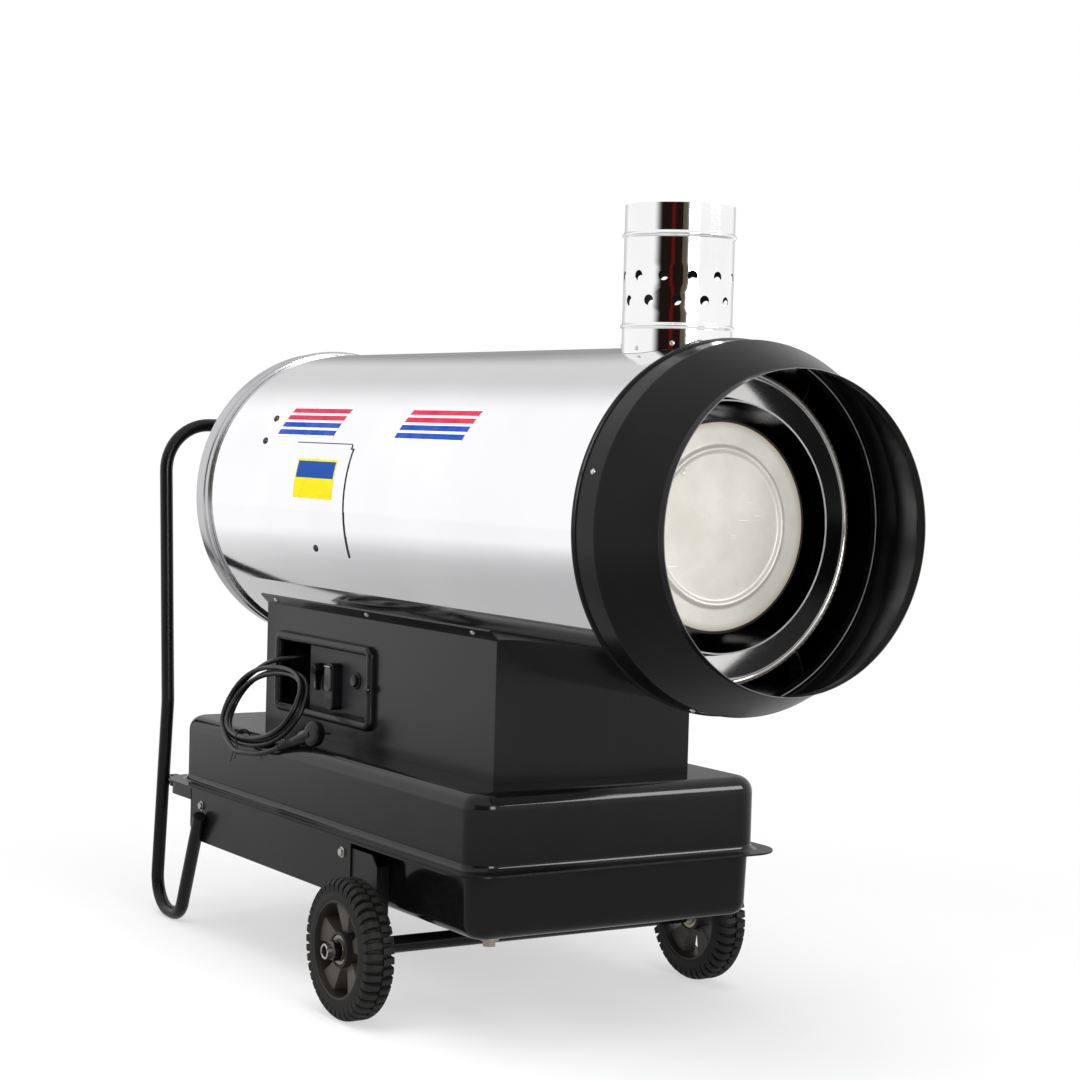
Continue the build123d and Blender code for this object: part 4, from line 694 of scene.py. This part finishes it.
def knobForm():
    at = onSide(knob["x"], knob["face"], knob["height"])
    form = lathed([(0, 0), (9.8, 0), (9.8, 4), (9.2, 5.5), (8.8, 13.5), (7.8, 14.6), (0, 14.6)], at, 32, False)
    pointerAt = swung(at, 0, 0, -16.5, 8) @ Matrix.Diagonal((0.011, 0.035, 0.013, 1))
    made, foot = ops.create_cube(form, size=1, matrix=pointerAt)["verts"], 0.0016
    for vert in made:
        x, y, z = at.inverted() @ vert.co
        reach = max(0, min(1, -y / 0.034))
        vert.co = at @ Vector((x * (1 - 0.62 * reach), y, foot + (z - foot) * (1 - 0.35 * reach)))
    rounded(form, edgesOf(made), 1.2, 3)
    return form


knobPiece = build("pointerKnob", knobForm(), "blackPlastic", 40, "knob")
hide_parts("switch_knob")
markForm = bmesh.new()
block(markForm, onSide(knob["x"], knob["face"] - 11.2, knob["height"] - 22), (1.2, 16, 1.4))
build("knobMark", markForm, "markPaint", body="knob")

buttonAt = onSide(417, -153, -275)
collarLine = [(9.4, 0), (13.5, 0), (13.2, 1.8), (11.8, 2.9), (10, 2.9), (9.4, 2)]
build("buttonCollar", lathed(collarLine, buttonAt, 40), "blackPlastic")
buttonForm = lathed([(0, 3.4), (8.9, 3.4), (8.9, 7.2), (8, 8), (4.5, 7.6), (0, 7.2)], buttonAt, 32, False)
buttonPiece = build("resetCap", buttonForm, "buttonPlastic", 40, "button")
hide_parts("reset_button")

socketForm = slab(onSide(355.6, -161.9, -290), (25.2, 73.5, 17.6), 8, (1.6, 0), (6, 3))
for height in range(-310, -323, -2):
    block(socketForm, onSide(355.6, -171.2, height), (18, 0.9, 0.6), 0.2, 1)
socketPiece = build("socketBody", socketForm, "blackPlastic", 40)
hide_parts("thermostat_socket")
lidForm = slab(onSide(356, -172.85, -278), (19.6, 38.4, 3), 7.8, (1.3, 0), (8, 4))
lidPiece = build("socketLid", lidForm, "lidGreyAndPlugHighlight", 40, "cover")
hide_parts("socket_cover")
pinAt = facing(place(356, -173.5, -258.6), (1, 0, 0))
pinForm = lathed([(0, -9.6), (1.4, -9.6), (1.4, 9.6), (0, 9.6)], pinAt, 16, False)
build("lidPin", pinForm, "zincSteel", body="cover")

glandForm = bmesh.new()
glandAt = onSide(219.5, -97.5, -254)
hexBody(glandForm, glandAt, 11.9, 8.5, 0.9)
glandLine = [
    (0, 8), (10.2, 8), (10.6, 10), (10.2, 16.5), (8.6, 18.6), (7.8, 19), (7.2, 35), (5.2, 35.2), (5, 34), (0, 34),
]
turned(glandForm, glandLine, glandAt, 28, False)
for ring in range(4):
    gripRing(glandForm, glandAt, 7.8, 20.5 + 3.6 * ring, 0.8, 2)
glandPiece = build("cordGland", glandForm, "blackPlastic", 40)
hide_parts("cord_gland")

print("stage: tank")

tank = {
    "x": 449.5, "length": 983, "width": 487, "corner": 38, "top": -375, "seam": -484, "foot": -579, "draft": 0.026,
    "lip": (47.6, 61.6, 55),  # how far it stands out, both sides together, and its corner
    "cove": (-482.55, 10),  # height and radius
}


def tankPart(low, high, size, corner, edges, segments, draft=0):
    return slab(Matrix.Translation(place(tank["x"], 0, (low + high) / 2)), size, corner, edges, segments, draft)


def lipSheet(form, low, high):
    outX, outY, corner = tank["lip"]
    size = (tank["length"] + outX, tank["width"] + outY, high - low)
    carry(form, meshOf("lip", tankPart(low, high, size, corner, (0.4, 0.4), (12, 2))))


def tankCove():  # pressed round between the wall and the lip
    form = bmesh.new()
    height, radius = tank["cove"]
    lines = []
    for step in range(7):
        turn = radians(90 * step / 6)
        out, rise = radius * (1 - cos(turn)), radius * (1 - sin(turn))
        halfX, halfY = tank["length"] / 2 - 0.6, tank["width"] / 2 - 0.6
        rim = softCorners(halfX + out, halfY + out, tank["corner"] + out, 10)
        lines.append([place(tank["x"] + x, y, height + rise) for x, y in rim])
    bridged(form, lines)
    outwards(form)
    return form


upperForm = tankPart(tank["seam"], tank["top"], (982, 486, 108.8), tank["corner"], (23.5, 0), (10, 10))
lipSheet(upperForm, tank["seam"], -482.6)
upperPiece = build("tankUpper", upperForm, "tankPaint", 28)
build("tankCove", tankCove(), "tankPaint", 60)
neckAt = Matrix.Translation(place(45, 120, tank["top"]))
neckLine = [(22.1, -2), (23.9, -2), (23.9, 15.5), (23.5, 15.9), (22.5, 15.9), (22.1, 15.5)]
build("fillerNeck", lathed(neckLine, neckAt, 48), "tankPaint")
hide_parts("tank_upper_half")

lowerForm = tankPart(tank["foot"], -485.2, (972.5, 476.5, 93.8), 33, (0, 17.8), (10, 8), tank["draft"])
lipSheet(lowerForm, -485.4, -484.05)
lowerPiece = build("tankLower", lowerForm, "tankPaint", 28)
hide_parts("tank_lower_half")

drainAt = facing(place(905, -196, tank["foot"]), (0, 0, -1), (0, 1, 0))
drainLine = [(0, -4), (8.8, -4), (8.8, 0), (13.6, 0), (13.8, 0.8), (13.2, 3.9), (0, 3.9)]
drainForm = lathed(drainLine, drainAt, 32, False)
hexBody(drainForm, swung(drainAt, 0, z=3.8), 9.9, 8, 0.8)
drainPiece = build("drainPlug", drainForm, "drainBrass", 30)
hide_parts("drain_plug")

print("stage: frame and handle")

handle = {
    "radius": 10.85, "spread": 250, "bends": (55, 55, 80, 80), "foot": 274.6,  # the ends lie on the side plates
    "route": ((108, -526), (-19, -716), (-122, -716), (-88, -358), (-120, 115)),  # half of it, from the bolt up
}
halfRoute = [place(x, handle["spread"], height) for x, height in handle["route"]]
halfRoute[0].y = handle["foot"] / 1000
otherHalf = [Vector((spot.x, -spot.y, spot.z)) for spot in reversed(halfRoute)]
handleForm = bmesh.new()
piped(handleForm, bentRoute(halfRoute + otherHalf, handle["bends"] + handle["bends"][::-1], 14), handle["radius"], 24)
handlePiece = build("handleTube", handleForm, "handlePaint", 50)
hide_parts("handle_tube")

boltSpots = ((90, 263.6, -512), (592, 263.6, -507), (-101.1, 239, -496))
boltForm = bmesh.new()
for side in (-1, 1):
    for x, out, height in boltSpots:
        at = onSide(x, side * out, height)
        turned(boltForm, [(0, 0), (8.2, 0), (8.2, 1.1), (7.8, 1.4), (0, 1.4)], at, 24, False)
        hexBody(boltForm, swung(at, 0.3), 6.3, 4.6, 0.6)
boltPiece = build("frameBolts", boltForm, "zincSteel", 28)
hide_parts("frame_bolts")

plate = {
    "x": (45, 618), "height": (-485.5, -571.5), "cut": 20, "face": 263.5, "wall": 2.5, "tongue": -508, "corner": 45,
    "rear": -66, "pad": (40, 14, 20),
}


def framePlates():
    form = bmesh.new()
    (near, far), (top, low), cut = plate["x"], plate["height"], plate["cut"]
    for side in (-1, 1):
        rim = ((near, top), (far, top), (far, low), (near + cut, low), (near, low + cut))
        sheet = form.faces.new([form.verts.new(place(x, side * plate["face"], height)) for x, height in rim])
        whole = ops.extrude_face_region(form, geom=[sheet])["geom"]
        inward = (0, -side * plate["wall"] / 1000, 0)
        ops.translate(form, vec=inward, verts=only(bmesh.types.BMVert, whole))
    outwards(form)
    rounded(form, form.edges[:], 0.5)
    return form


def rearBand():  # follows the rounded corners of the tank and crosses its rear
    form = bmesh.new()
    corner, face, rear = plate["corner"], plate["face"], plate["rear"]
    plan = [(plate["x"][0] + 4, face)]
    for turn in range(0, 91, 9):
        plan.append((rear + corner * (1 - sin(radians(turn))), face - corner * (1 - cos(radians(turn)))))
    plan += [(x, -y) for x, y in reversed(plan)]
    heights = (plate["height"][0], plate["tongue"])
    bridged(form, [[place(x, y, height) for x, y in plan] for height in heights], False)
    outwards(form)
    if sum(face.normal.xy.dot(face.calc_center_median().xy) for face in form.faces) < 0:
        ops.reverse_faces(form, faces=form.faces)
    ops.solidify(form, geom=form.faces[:], thickness=plate["wall"] / 1000)
    for side in (-1, 1):
        block(form, Matrix.Translation(place(-84, side * 230, -497)), plate["pad"], 1)
    return form


platePiece = build("framePlates", framePlates(), "glossBlack", 40)
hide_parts("side_plates")
bandPiece = build("rearBand", rearBand(), "glossBlack", 40)
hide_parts("rear_crossmember")

print("stage: wheels")

wheel = {
    "x": 703, "height": -625, "half": 306, "nut": 325.4, "halfAxle": 347, "halfSleeve": 279,  # from the middle plane
    "lugs": 41, "tread": 92.5, "crown": 101.4, "spokes": 5, "hubFace": 16.2,  # lugs on each half of the tread
}
carcass = [
    (71.2, 22.5), (72.5, 22.9), (76, 22.6), (83, 21.8), (88, 20), (91.5, 17), (93.5, 12), (94.2, 6), (94.5, 1.4),
    (96.2, 1),
]
barrel = [(71, 22.1), (70, 22.9), (68.6, 22.9), (67.2, 22.2), (66.4, 19), (65.5, 12)]
hubLine = [
    (24, -18.2), (25.8, -17.8), (26, 0), (25.8, 17.8), (24.6, 19), (22.6, 19), (21.8, 17.8), (21.6, 16), (11.2, 16),
    (11.2, -16), (21.6, -16), (22.6, -19),
]
bearingRings = (
    ((15.8, 0), (21.2, 0), (21, 1.3), (20, 1.6), (16.8, 1.6), (15.8, 1.2)),
    ((11.1, 0), (15, 0), (15, 1), (14.6, 2.2), (11.3, 2.2)),
)


def tyreForm(at):
    form = lathed(mirrored(carcass), at, 104)
    for number in range(2 * wheel["lugs"]):
        way = 1 if number % 2 else -1
        spot = swung(at, pi * number / wheel["lugs"])
        made = ops.create_grid(form, x_segments=8, y_segments=2, size=0.5)["verts"]
        top = only(bmesh.types.BMVert, ops.extrude_face_region(form, geom=facesOf(made))["geom"])
        for vert in made + top:
            across, along = vert.co.x + 0.5, vert.co.y
            drop = max(0, across - 0.42)
            reach, thick = wheel["tread"] - 30 * drop**2, 10
            if vert in top:
                reach, thick = wheel["crown"] - 19 * drop**2 - 6 * max(0, across - 0.8), 7.8
            lean = 2.2 * across - 6 * max(0, across - 0.55)
            swell = 1 + 0.18 * across
            outward = way * min(1.2 + across * 20.8, 22.4)
            vert.co = spot @ (Vector((reach, along * thick * swell + lean, outward)) / 1000)
        ops.recalc_face_normals(form, faces=facesOf(made + top))
    return form


def rimForm(at):
    form = lathed(mirrored(barrel, [(65.2, 0)]), at, 90)
    turned(form, hubLine, at, 60)
    return form


def spokeForm(at):
    form = bmesh.new()
    for number in range(wheel["spokes"]):
        spoke = swung(at, 2 * pi * (number + 0.25) / wheel["spokes"])
        grown = rounded(form, edgesOf(ops.create_cube(form, size=1)["verts"]), 60)
        for vert in {vert for face in grown["faces"] for vert in face.verts}:
            reach = vert.co.x + 0.5
            wide, deep = vert.co.y * (15 + 27 * reach), vert.co.z * (15 + 12 * reach)
            vert.co = spoke @ (Vector((23.5 + 43.5 * reach, wide, deep)) / 1000)
    return form


def bearingForm(at):
    form = bmesh.new()
    for way in (1, -1):
        for ring in bearingRings:
            turned(form, [(radius, way * (wheel["hubFace"] + over)) for radius, over in ring], at, 48)
    return form


for side, name in ((1, "left"), (-1, "right")):
    middle = onSide(wheel["x"], side * wheel["half"], wheel["height"])
    body = "wheel_" + name
    tyrePiece = build("tyre" + name.title(), tyreForm(middle), "tyreRubber", 38, body)
    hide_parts("tyre_" + name)
    # barrel and hub in the darker copy, spokes in the lighter copy of the rim's plastic: painted shade and painted
    # light
    rimPiece = build("rim" + name.title(), rimForm(middle), "rimPlasticShadedCopy", 34, body)
    build("spokes" + name.title(), spokeForm(middle), "rimPlasticLitCopy", 34, body)
    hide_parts("rim_" + name)
    build("bearing" + name.title(), bearingForm(middle), "bearingSteel", 30, body)

nutForm = bmesh.new()
for side in (-1, 1):
    at = onSide(wheel["x"], side * wheel["nut"], wheel["height"])
    turned(nutForm, [(11.05, 2), (14.5, 2), (15.2, 3), (15, 10.5), (14, 11.8), (11.05, 11.8)], at, 6)
    turned(nutForm, [(11.05, 0), (15.6, 0), (15.6, 1.8), (11.05, 1.8)], at, 32)
nutPiece = build("axleNuts", nutForm, "blackSteelAndDarkReflection", 28)
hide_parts("axle_nuts")
axleAt = facing(place(wheel["x"], 0, wheel["height"]), (0, 1, 0))
end = -wheel["halfSleeve"]
sleeveForm = lathed(mirrored([(11.1, end), (12.1, end), (12.5, end + 0.4)]), axleAt, 40)
sleevePiece = build("axleSleeve", sleeveForm, "tankPaint")
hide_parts("axle_beam")
end = -wheel["halfAxle"]
axleForm = lathed(mirrored([(8, end + 0.6), (8.6, end), (10.4, end), (11, end + 0.6)]), axleAt, 48)
axlePiece = build("axleTube", axleForm, "zincSteel")
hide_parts("axle_tube")

print("stage: intake")


def around(x, radius, turn):
    return place(x, radius * cos(turn), radius * sin(turn))


guardForm = bmesh.new()
for radius in range(232, 42, -27):
    piped(guardForm, [around(1.9, radius, 2 * pi * step / 72) for step in range(72)], 1.5, closed=True)
for number in range(12):
    turn = 2 * pi * (number + 0.5) / 12
    piped(guardForm, [around(3, 25 if number % 2 else 43, turn), around(3, 236, turn)], 1.9)
turned(guardForm, [(0, -0.2), (26, 0.4), (26.8, 1.2), (26.8, 2.6), (0, 2.6)], xAxis, 40, False)
guardPiece = build("intakeGrille", guardForm, "handlePaint", 50)
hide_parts("intake_guard")

fan = {"blades": 6, "root": 49, "span": 171, "middle": 62, "camber": 3.2, "sweep": 12}
fanHub = [(8.1, 40.5), (30, 40.5), (46, 42.5), (51, 47), (51.6, 56), (51.6, 83.5), (8.1, 83.5)]
bladeForm = bmesh.new()
for number in range(fan["blades"]):
    made = ops.create_grid(bladeForm, x_segments=14, y_segments=8, size=0.5)["verts"]
    for vert in made:
        reach, chord = vert.co.x + 0.5, vert.co.y
        radius = fan["root"] + fan["span"] * reach
        wide = (46 + 44 * reach) * (1 - 0.25 * max(0, reach - 0.86) / 0.14)
        pitch = radians(34 - 12 * reach)
        along = fan["middle"] - 0.94 * chord * wide * sin(pitch) + fan["camber"] * (1 - 4 * chord * chord)
        turn = 2 * pi * number / fan["blades"] + (chord * wide * cos(pitch) + fan["sweep"] * reach**2) / radius
        vert.co = around(along, radius, turn)
    ops.recalc_face_normals(bladeForm, faces=facesOf(made))
ops.solidify(bladeForm, geom=bladeForm.faces[:], thickness=0.0016)
turned(bladeForm, fanHub, xAxis, 48)
fanPiece = build("intakeFan", bladeForm, "castAlloy", 35, "fan")
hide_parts("axial_fan")


def ribs(form, at, count, radius, height, size, edge):
    for number in range(count):
        block(form, swung(at, 2 * pi * number / count, radius, 0, height), size, edge, 1)


shellLine = [
    (8.1, 112), (30, 112), (52, 114.5), (60, 120.5), (65.5, 129), (69, 133), (69.4, 244), (66, 248), (59, 256),
    (48, 261.5), (8.1, 261.5),
]
motorForm = lathed(shellLine, xAxis, 60)
ribs(motorForm, xAxis, 24, 68.5, 190, (2, 2.2, 86), 0.4)
motorPiece = build("fanMotor", motorForm, "satinBlack", 30)
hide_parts("fan_motor")

capLine = [
    (24.1, 0.6), (27.6, 0.6), (28.4, 1.6), (28.4, 20), (26.8, 23.2), (20, 24.1), (0, 24.1), (0, 16.5), (24.1, 16.5),
]
capForm = lathed(capLine, neckAt, 56, False)
ribs(capForm, neckAt, 18, 28.4, 10.8, (1.8, 4.2, 18.6), 0.5)
capPiece = build("fuelCap", capForm, "blackPlastic", 34, "cap")
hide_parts("filler_cap")

gaugeAt = Matrix.Translation(place(45, 20, tank["top"]))
gaugeLine = [(0, 0.2), (21.8, 0.2), (21.9, 7), (20.6, 9.2), (19, 9.8), (18.2, 9), (17.6, 7.4), (0, 7.2)]
gaugePiece = build("gaugeBody", lathed(gaugeLine, gaugeAt, 48, False), "blackPlastic", 34)
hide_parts("fuel_gauge")
dialForm = lathed([(0, 7.1), (17.6, 7.3), (17.6, 7.6), (0, 7.6)], gaugeAt, 40, False)
build("gaugeDial", dialForm, "dialPaint")
needleForm = bmesh.new()
block(needleForm, swung(gaugeAt, 0.5, 4.5, 0, 8), (15, 1.1, 0.6))
build("gaugeNeedle", needleForm, "needlePaint")

print("stage: camera and studio")

view = {
    "spot": (3.1298, -1.9027, 0.8478),
    "axes": ((0.53121, 0.846802, 0.027237), (-0.052806, 0.001006, 0.998604), (0.845593, -0.531907, 0.045251)),
}
camera = linked("camera", bpy.data.cameras.new("camera"))
camera.data.lens = 80.22
camera.data.sensor_width = 36
camera.matrix_world = Matrix.Translation(view["spot"]) @ Matrix(view["axes"]).transposed().to_4x4()
bpy.context.scene.camera = camera


def studioWorld():  # plain light; polished metal sees a pale surround with a dark band and grey sides
    world = bpy.data.worlds.new("studio")
    bpy.context.scene.world = world
    world.use_nodes = True
    tree = world.node_tree
    background = tree.nodes["Background"]
    seen, glossy, passing = (Wire(tree).node("LightPath", output=ray) for ray in (0, 3, 6))
    x, y, z = Wire(tree).node("TexCoord").parts()
    bearing = y.maths("ARCTAN2", x) * degrees(1)
    darkBand = bearing.rise(-92, -72) * (1 - bearing.rise(-20, -13)) * (1 - z.rise(0.4, 0.62))
    farSide = y.rise(-0.16, 0.16) * (1 - x.rise(-0.55, -0.2))
    middle = 1 - z.maths("ABSOLUTE").rise(0.25, 0.5)
    behind = bearing.rise(134, 143) * (1 - bearing.rise(153, 162)) * middle
    surround = 1.16 - farSide * 0.42 - behind * 0.38
    dark = (bearing > -29).mixed((0.012, 0.006, 0.005, 1), (0.1, 0.085, 0.055, 1))
    dark = ((bearing > -52) * (bearing < -45)).mixed(dark, (0.1, 0.006, 0.004, 1))
    shown = seen.maths("MAXIMUM", passing)
    colour = ((1 - shown) * glossy).mixed((1, 1, 1, 1), darkBand.mixed((1, 1, 1, 1), dark))
    level = shown + (1 - shown) * (glossy * surround + (1 - glossy) * 0.5)
    colour.to(background.inputs["Color"])
    level.to(background.inputs["Strength"])


def areaLamp(name, spot, target, size, power, glossy=True, diffuse=True):
    data = bpy.data.lights.new(name, "AREA")
    data.shape = "RECTANGLE"
    data.size, data.size_y = size
    data.energy = power
    lamp = linked(name, data)
    lamp.location = spot
    lamp.visible_glossy = glossy
    lamp.visible_diffuse = diffuse
    lamp.rotation_euler = (Vector(target) - Vector(spot)).to_track_quat("-Z", "Y").to_euler()


def paleFloor():  # white away from the object, with its shadow near by; in reflections it glows, with painted shade near the object
    coords, feed, bump = finish("paleFloor", (0.95, 0.95, 0.95, 1), 0.9)
    tree = coords.tree
    x, y, z = coords.parts()
    reach = (x * x + y * y) ** 0.5
    seen, glossy = (coords.node("LightPath", output=ray) for ray in (0, 3))
    # for reflections the floor is a glow, dimmer near the object: painted shade in its reflection
    level = seen + (1 - seen) * (reach.rise(1.1, 4.2) * 0.56 + 0.56)
    glow = coords.node("Emission", {"Color": (1, 1, 1, 1), "Strength": level})
    share = ((reach.rise(0.75, 1.7) * 0.45 + 0.55) * seen).maths("MAXIMUM", glossy)
    own = Wire(tree, tree.nodes["Principled BSDF"].outputs[0])
    coords.node("MixShader", {0: share, 1: own, 2: glow}).to(tree.nodes["Material Output"].inputs[0])


studioWorld()
areaLamp("topLamp", (0.4, -0.5, 3), (0, 0, 0.6), (2.6, 2), 66, glossy=False)
areaLamp("frontLamp", (3.7, -0.3, 1.3), (0, 0, 0.6), (1.2, 1), 56)
areaLamp("farLamp", (2.3, 1.75, 1.85), (0.3, 0, 0.3), (1.2, 0.9), 54, diffuse=False)
areaLamp("sideLamp", (0.2, -3.2, 2.3), (0, 0, 0.5), (2, 0.8), 30, glossy=False)
paleFloor()
floorForm = bmesh.new()
ops.create_grid(floorForm, x_segments=1, y_segments=1, size=9)
studioFloor = linked("studioFloor", meshOf("studioFloor", floorForm))
studioFloor.data.materials.append(materials["paleFloor"])

print("stage: cord")

hank = {
    "turns": 3.43, "points": 16, "tie": 2.487,  # turns from the lead over the top, points for each, where the tie is
    "middle": place(231, -221.5, -331), "tilt": radians(29.05), "roll": radians(4), "half": (116, 66), "bundle": 5.9,
}
slope = Vector((0, sin(hank["tilt"]), cos(hank["tilt"])))
along = Vector((cos(hank["roll"]), 0, 0)) + slope * sin(hank["roll"])
outward = Vector((1, 0, 0)).cross(slope)
upward = outward.cross(along).normalized()


def hankPoint(turn):
    angle, twist = 2 * pi * turn, -pi / 2 * turn
    fan = 1 + 1.1 * max(0, cos(angle - radians(62))) ** 2
    spread = hank["bundle"] * fan * cos(twist)
    bowX, bowY = (copysign(abs(wave) ** 0.84, wave) for wave in (sin(angle), cos(angle)))
    halfX, halfY = hank["half"]
    flat = upward * (halfY + spread) * bowY - along * (halfX + spread) * bowX
    return hank["middle"] + (flat + outward * hank["bundle"] * sin(twist)) / 1000


leadStart = place(219.5, -132.5, -254)
route = [leadStart, place(219.5, -190, -258), place(160, -188.4, -271.5)]
steps = int(hank["turns"] * hank["points"])
route += [hankPoint(step / hank["points"]) for step in range(3, steps + 1)]
cableEnd = place(335, -248.2, -387)
plugMiddle = place(418, -226, -354.6)
relief = (cableEnd - plugMiddle).normalized()
route += [place(210, -265.4, -405.8), place(256, -263.4, -402.8), cableEnd + relief * 0.036, cableEnd]
cordData, spline = routed("powerCord", route, 4, "NURBS", 4)
spline.order_u = 3
spline.use_endpoint_u = True
spline.resolution_u = 6
powerCord = linked("powerCord", cordData)
cordData.materials.append(materials["cordRubber"])
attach(powerCord, "heater")
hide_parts("cord_lead", "cord_coil", "cord_tail")

headWay = Vector((-0.18, 0.97, -0.12)).normalized()  # the pins look this way
headAt = facing(plugMiddle, headWay, relief)
headLine = [(0, -8), (12, -8), (16.5, -7.2), (18.8, -5.2), (19.3, -2.4), (19.3, 5.2), (18.6, 6.4), (0, 6.4)]
plugForm = lathed(headLine, headAt, 48, False)
for number in range(20):
    turn = pi / 10 * (number + 0.5)
    if cos(turn) < 0.75:
        block(plugForm, swung(headAt, turn + pi / 2, 19, 0, 1.2), (0.9, 2.2, 6.6), 0.2, 1)
sleeveAt = facing(plugMiddle, relief, headWay)
length = 1000 * (cableEnd - plugMiddle).length - 0.5
neck = [(0, 2), (9.6, 4), (10.2, 16), (9.8, 30), (8.4, 46), (7, 60), (5.8, 78), (5, length), (0, length)]
turned(plugForm, neck, sleeveAt, 28, False)
for number in range(6):
    gripRing(plugForm, sleeveAt, 8.6 - 0.46 * number, 50 + 6.5 * number, 1, 3.2)
# a light grey patch on the plug's boot: painted highlight
highlightSide = Vector((0.25, -0.55, 0.8))
highlightSide = (highlightSide - relief * relief.dot(highlightSide)).normalized()
highlightMiddle = plugMiddle + relief * 0.021 + highlightSide * 0.0098
highlightForm = slab(facing(highlightMiddle, highlightSide, relief), (8.5, 15, 1.8), 1.2, (0.5, 0), (3, 2))
highlightPiece = build("plugHighlightPatch", highlightForm, "lidGreyAndPlugHighlight")
plugPiece = build("plugBody", plugForm, "plugPlastic", 38)
pinForm = bmesh.new()
for way in (-1, 1):
    at = swung(headAt, 0, 0, way * 9.5, 6.2)
    turned(pinForm, [(0, 0), (2.3, 0), (2.3, 17), (1.7, 18.8), (0, 19)], at, 16, False)
pinPiece = build("plugPins", pinForm, "zincSteel", 38)
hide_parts("plug")

tie = {"inward": 0.0125, "across": 0.0118}
tieSpot = hankPoint(hank["tie"])
tieMiddle = tieSpot - (tieSpot - hank["middle"]).normalized() * 0.002
ahead = (hankPoint(hank["tie"] + 0.02) - hankPoint(hank["tie"] - 0.02)).normalized()
inward = (hank["middle"] - tieMiddle).normalized()
across = ahead.cross(inward).normalized()
loopSpots = []
for step in range(28):
    turn = 2 * pi * step / 28
    loopSpots.append(tieMiddle + inward * tie["inward"] * cos(turn) + across * tie["across"] * sin(turn))
tieForm = bmesh.new()
piped(tieForm, loopSpots, 1.1, closed=True)
start = tieMiddle - inward * tie["inward"]
for lean, fall in ((-0.6, 0.03), (0.75, 0.024)):
    spots = [start, start - inward * 0.004 + ahead * 0.004 * lean]
    spots.append(start + Vector((0, -0.006, -0.5 * fall)) + ahead * 0.01 * lean)
    spots.append(start + Vector((0, -0.01, -fall)) + ahead * 0.012 * lean)
    piped(tieForm, spots, 0.9)
build("cordTie", tieForm, "cordRubber", 50)

print("stage: sizes")
bpy.context.scene.view_settings.view_transform = "Standard"
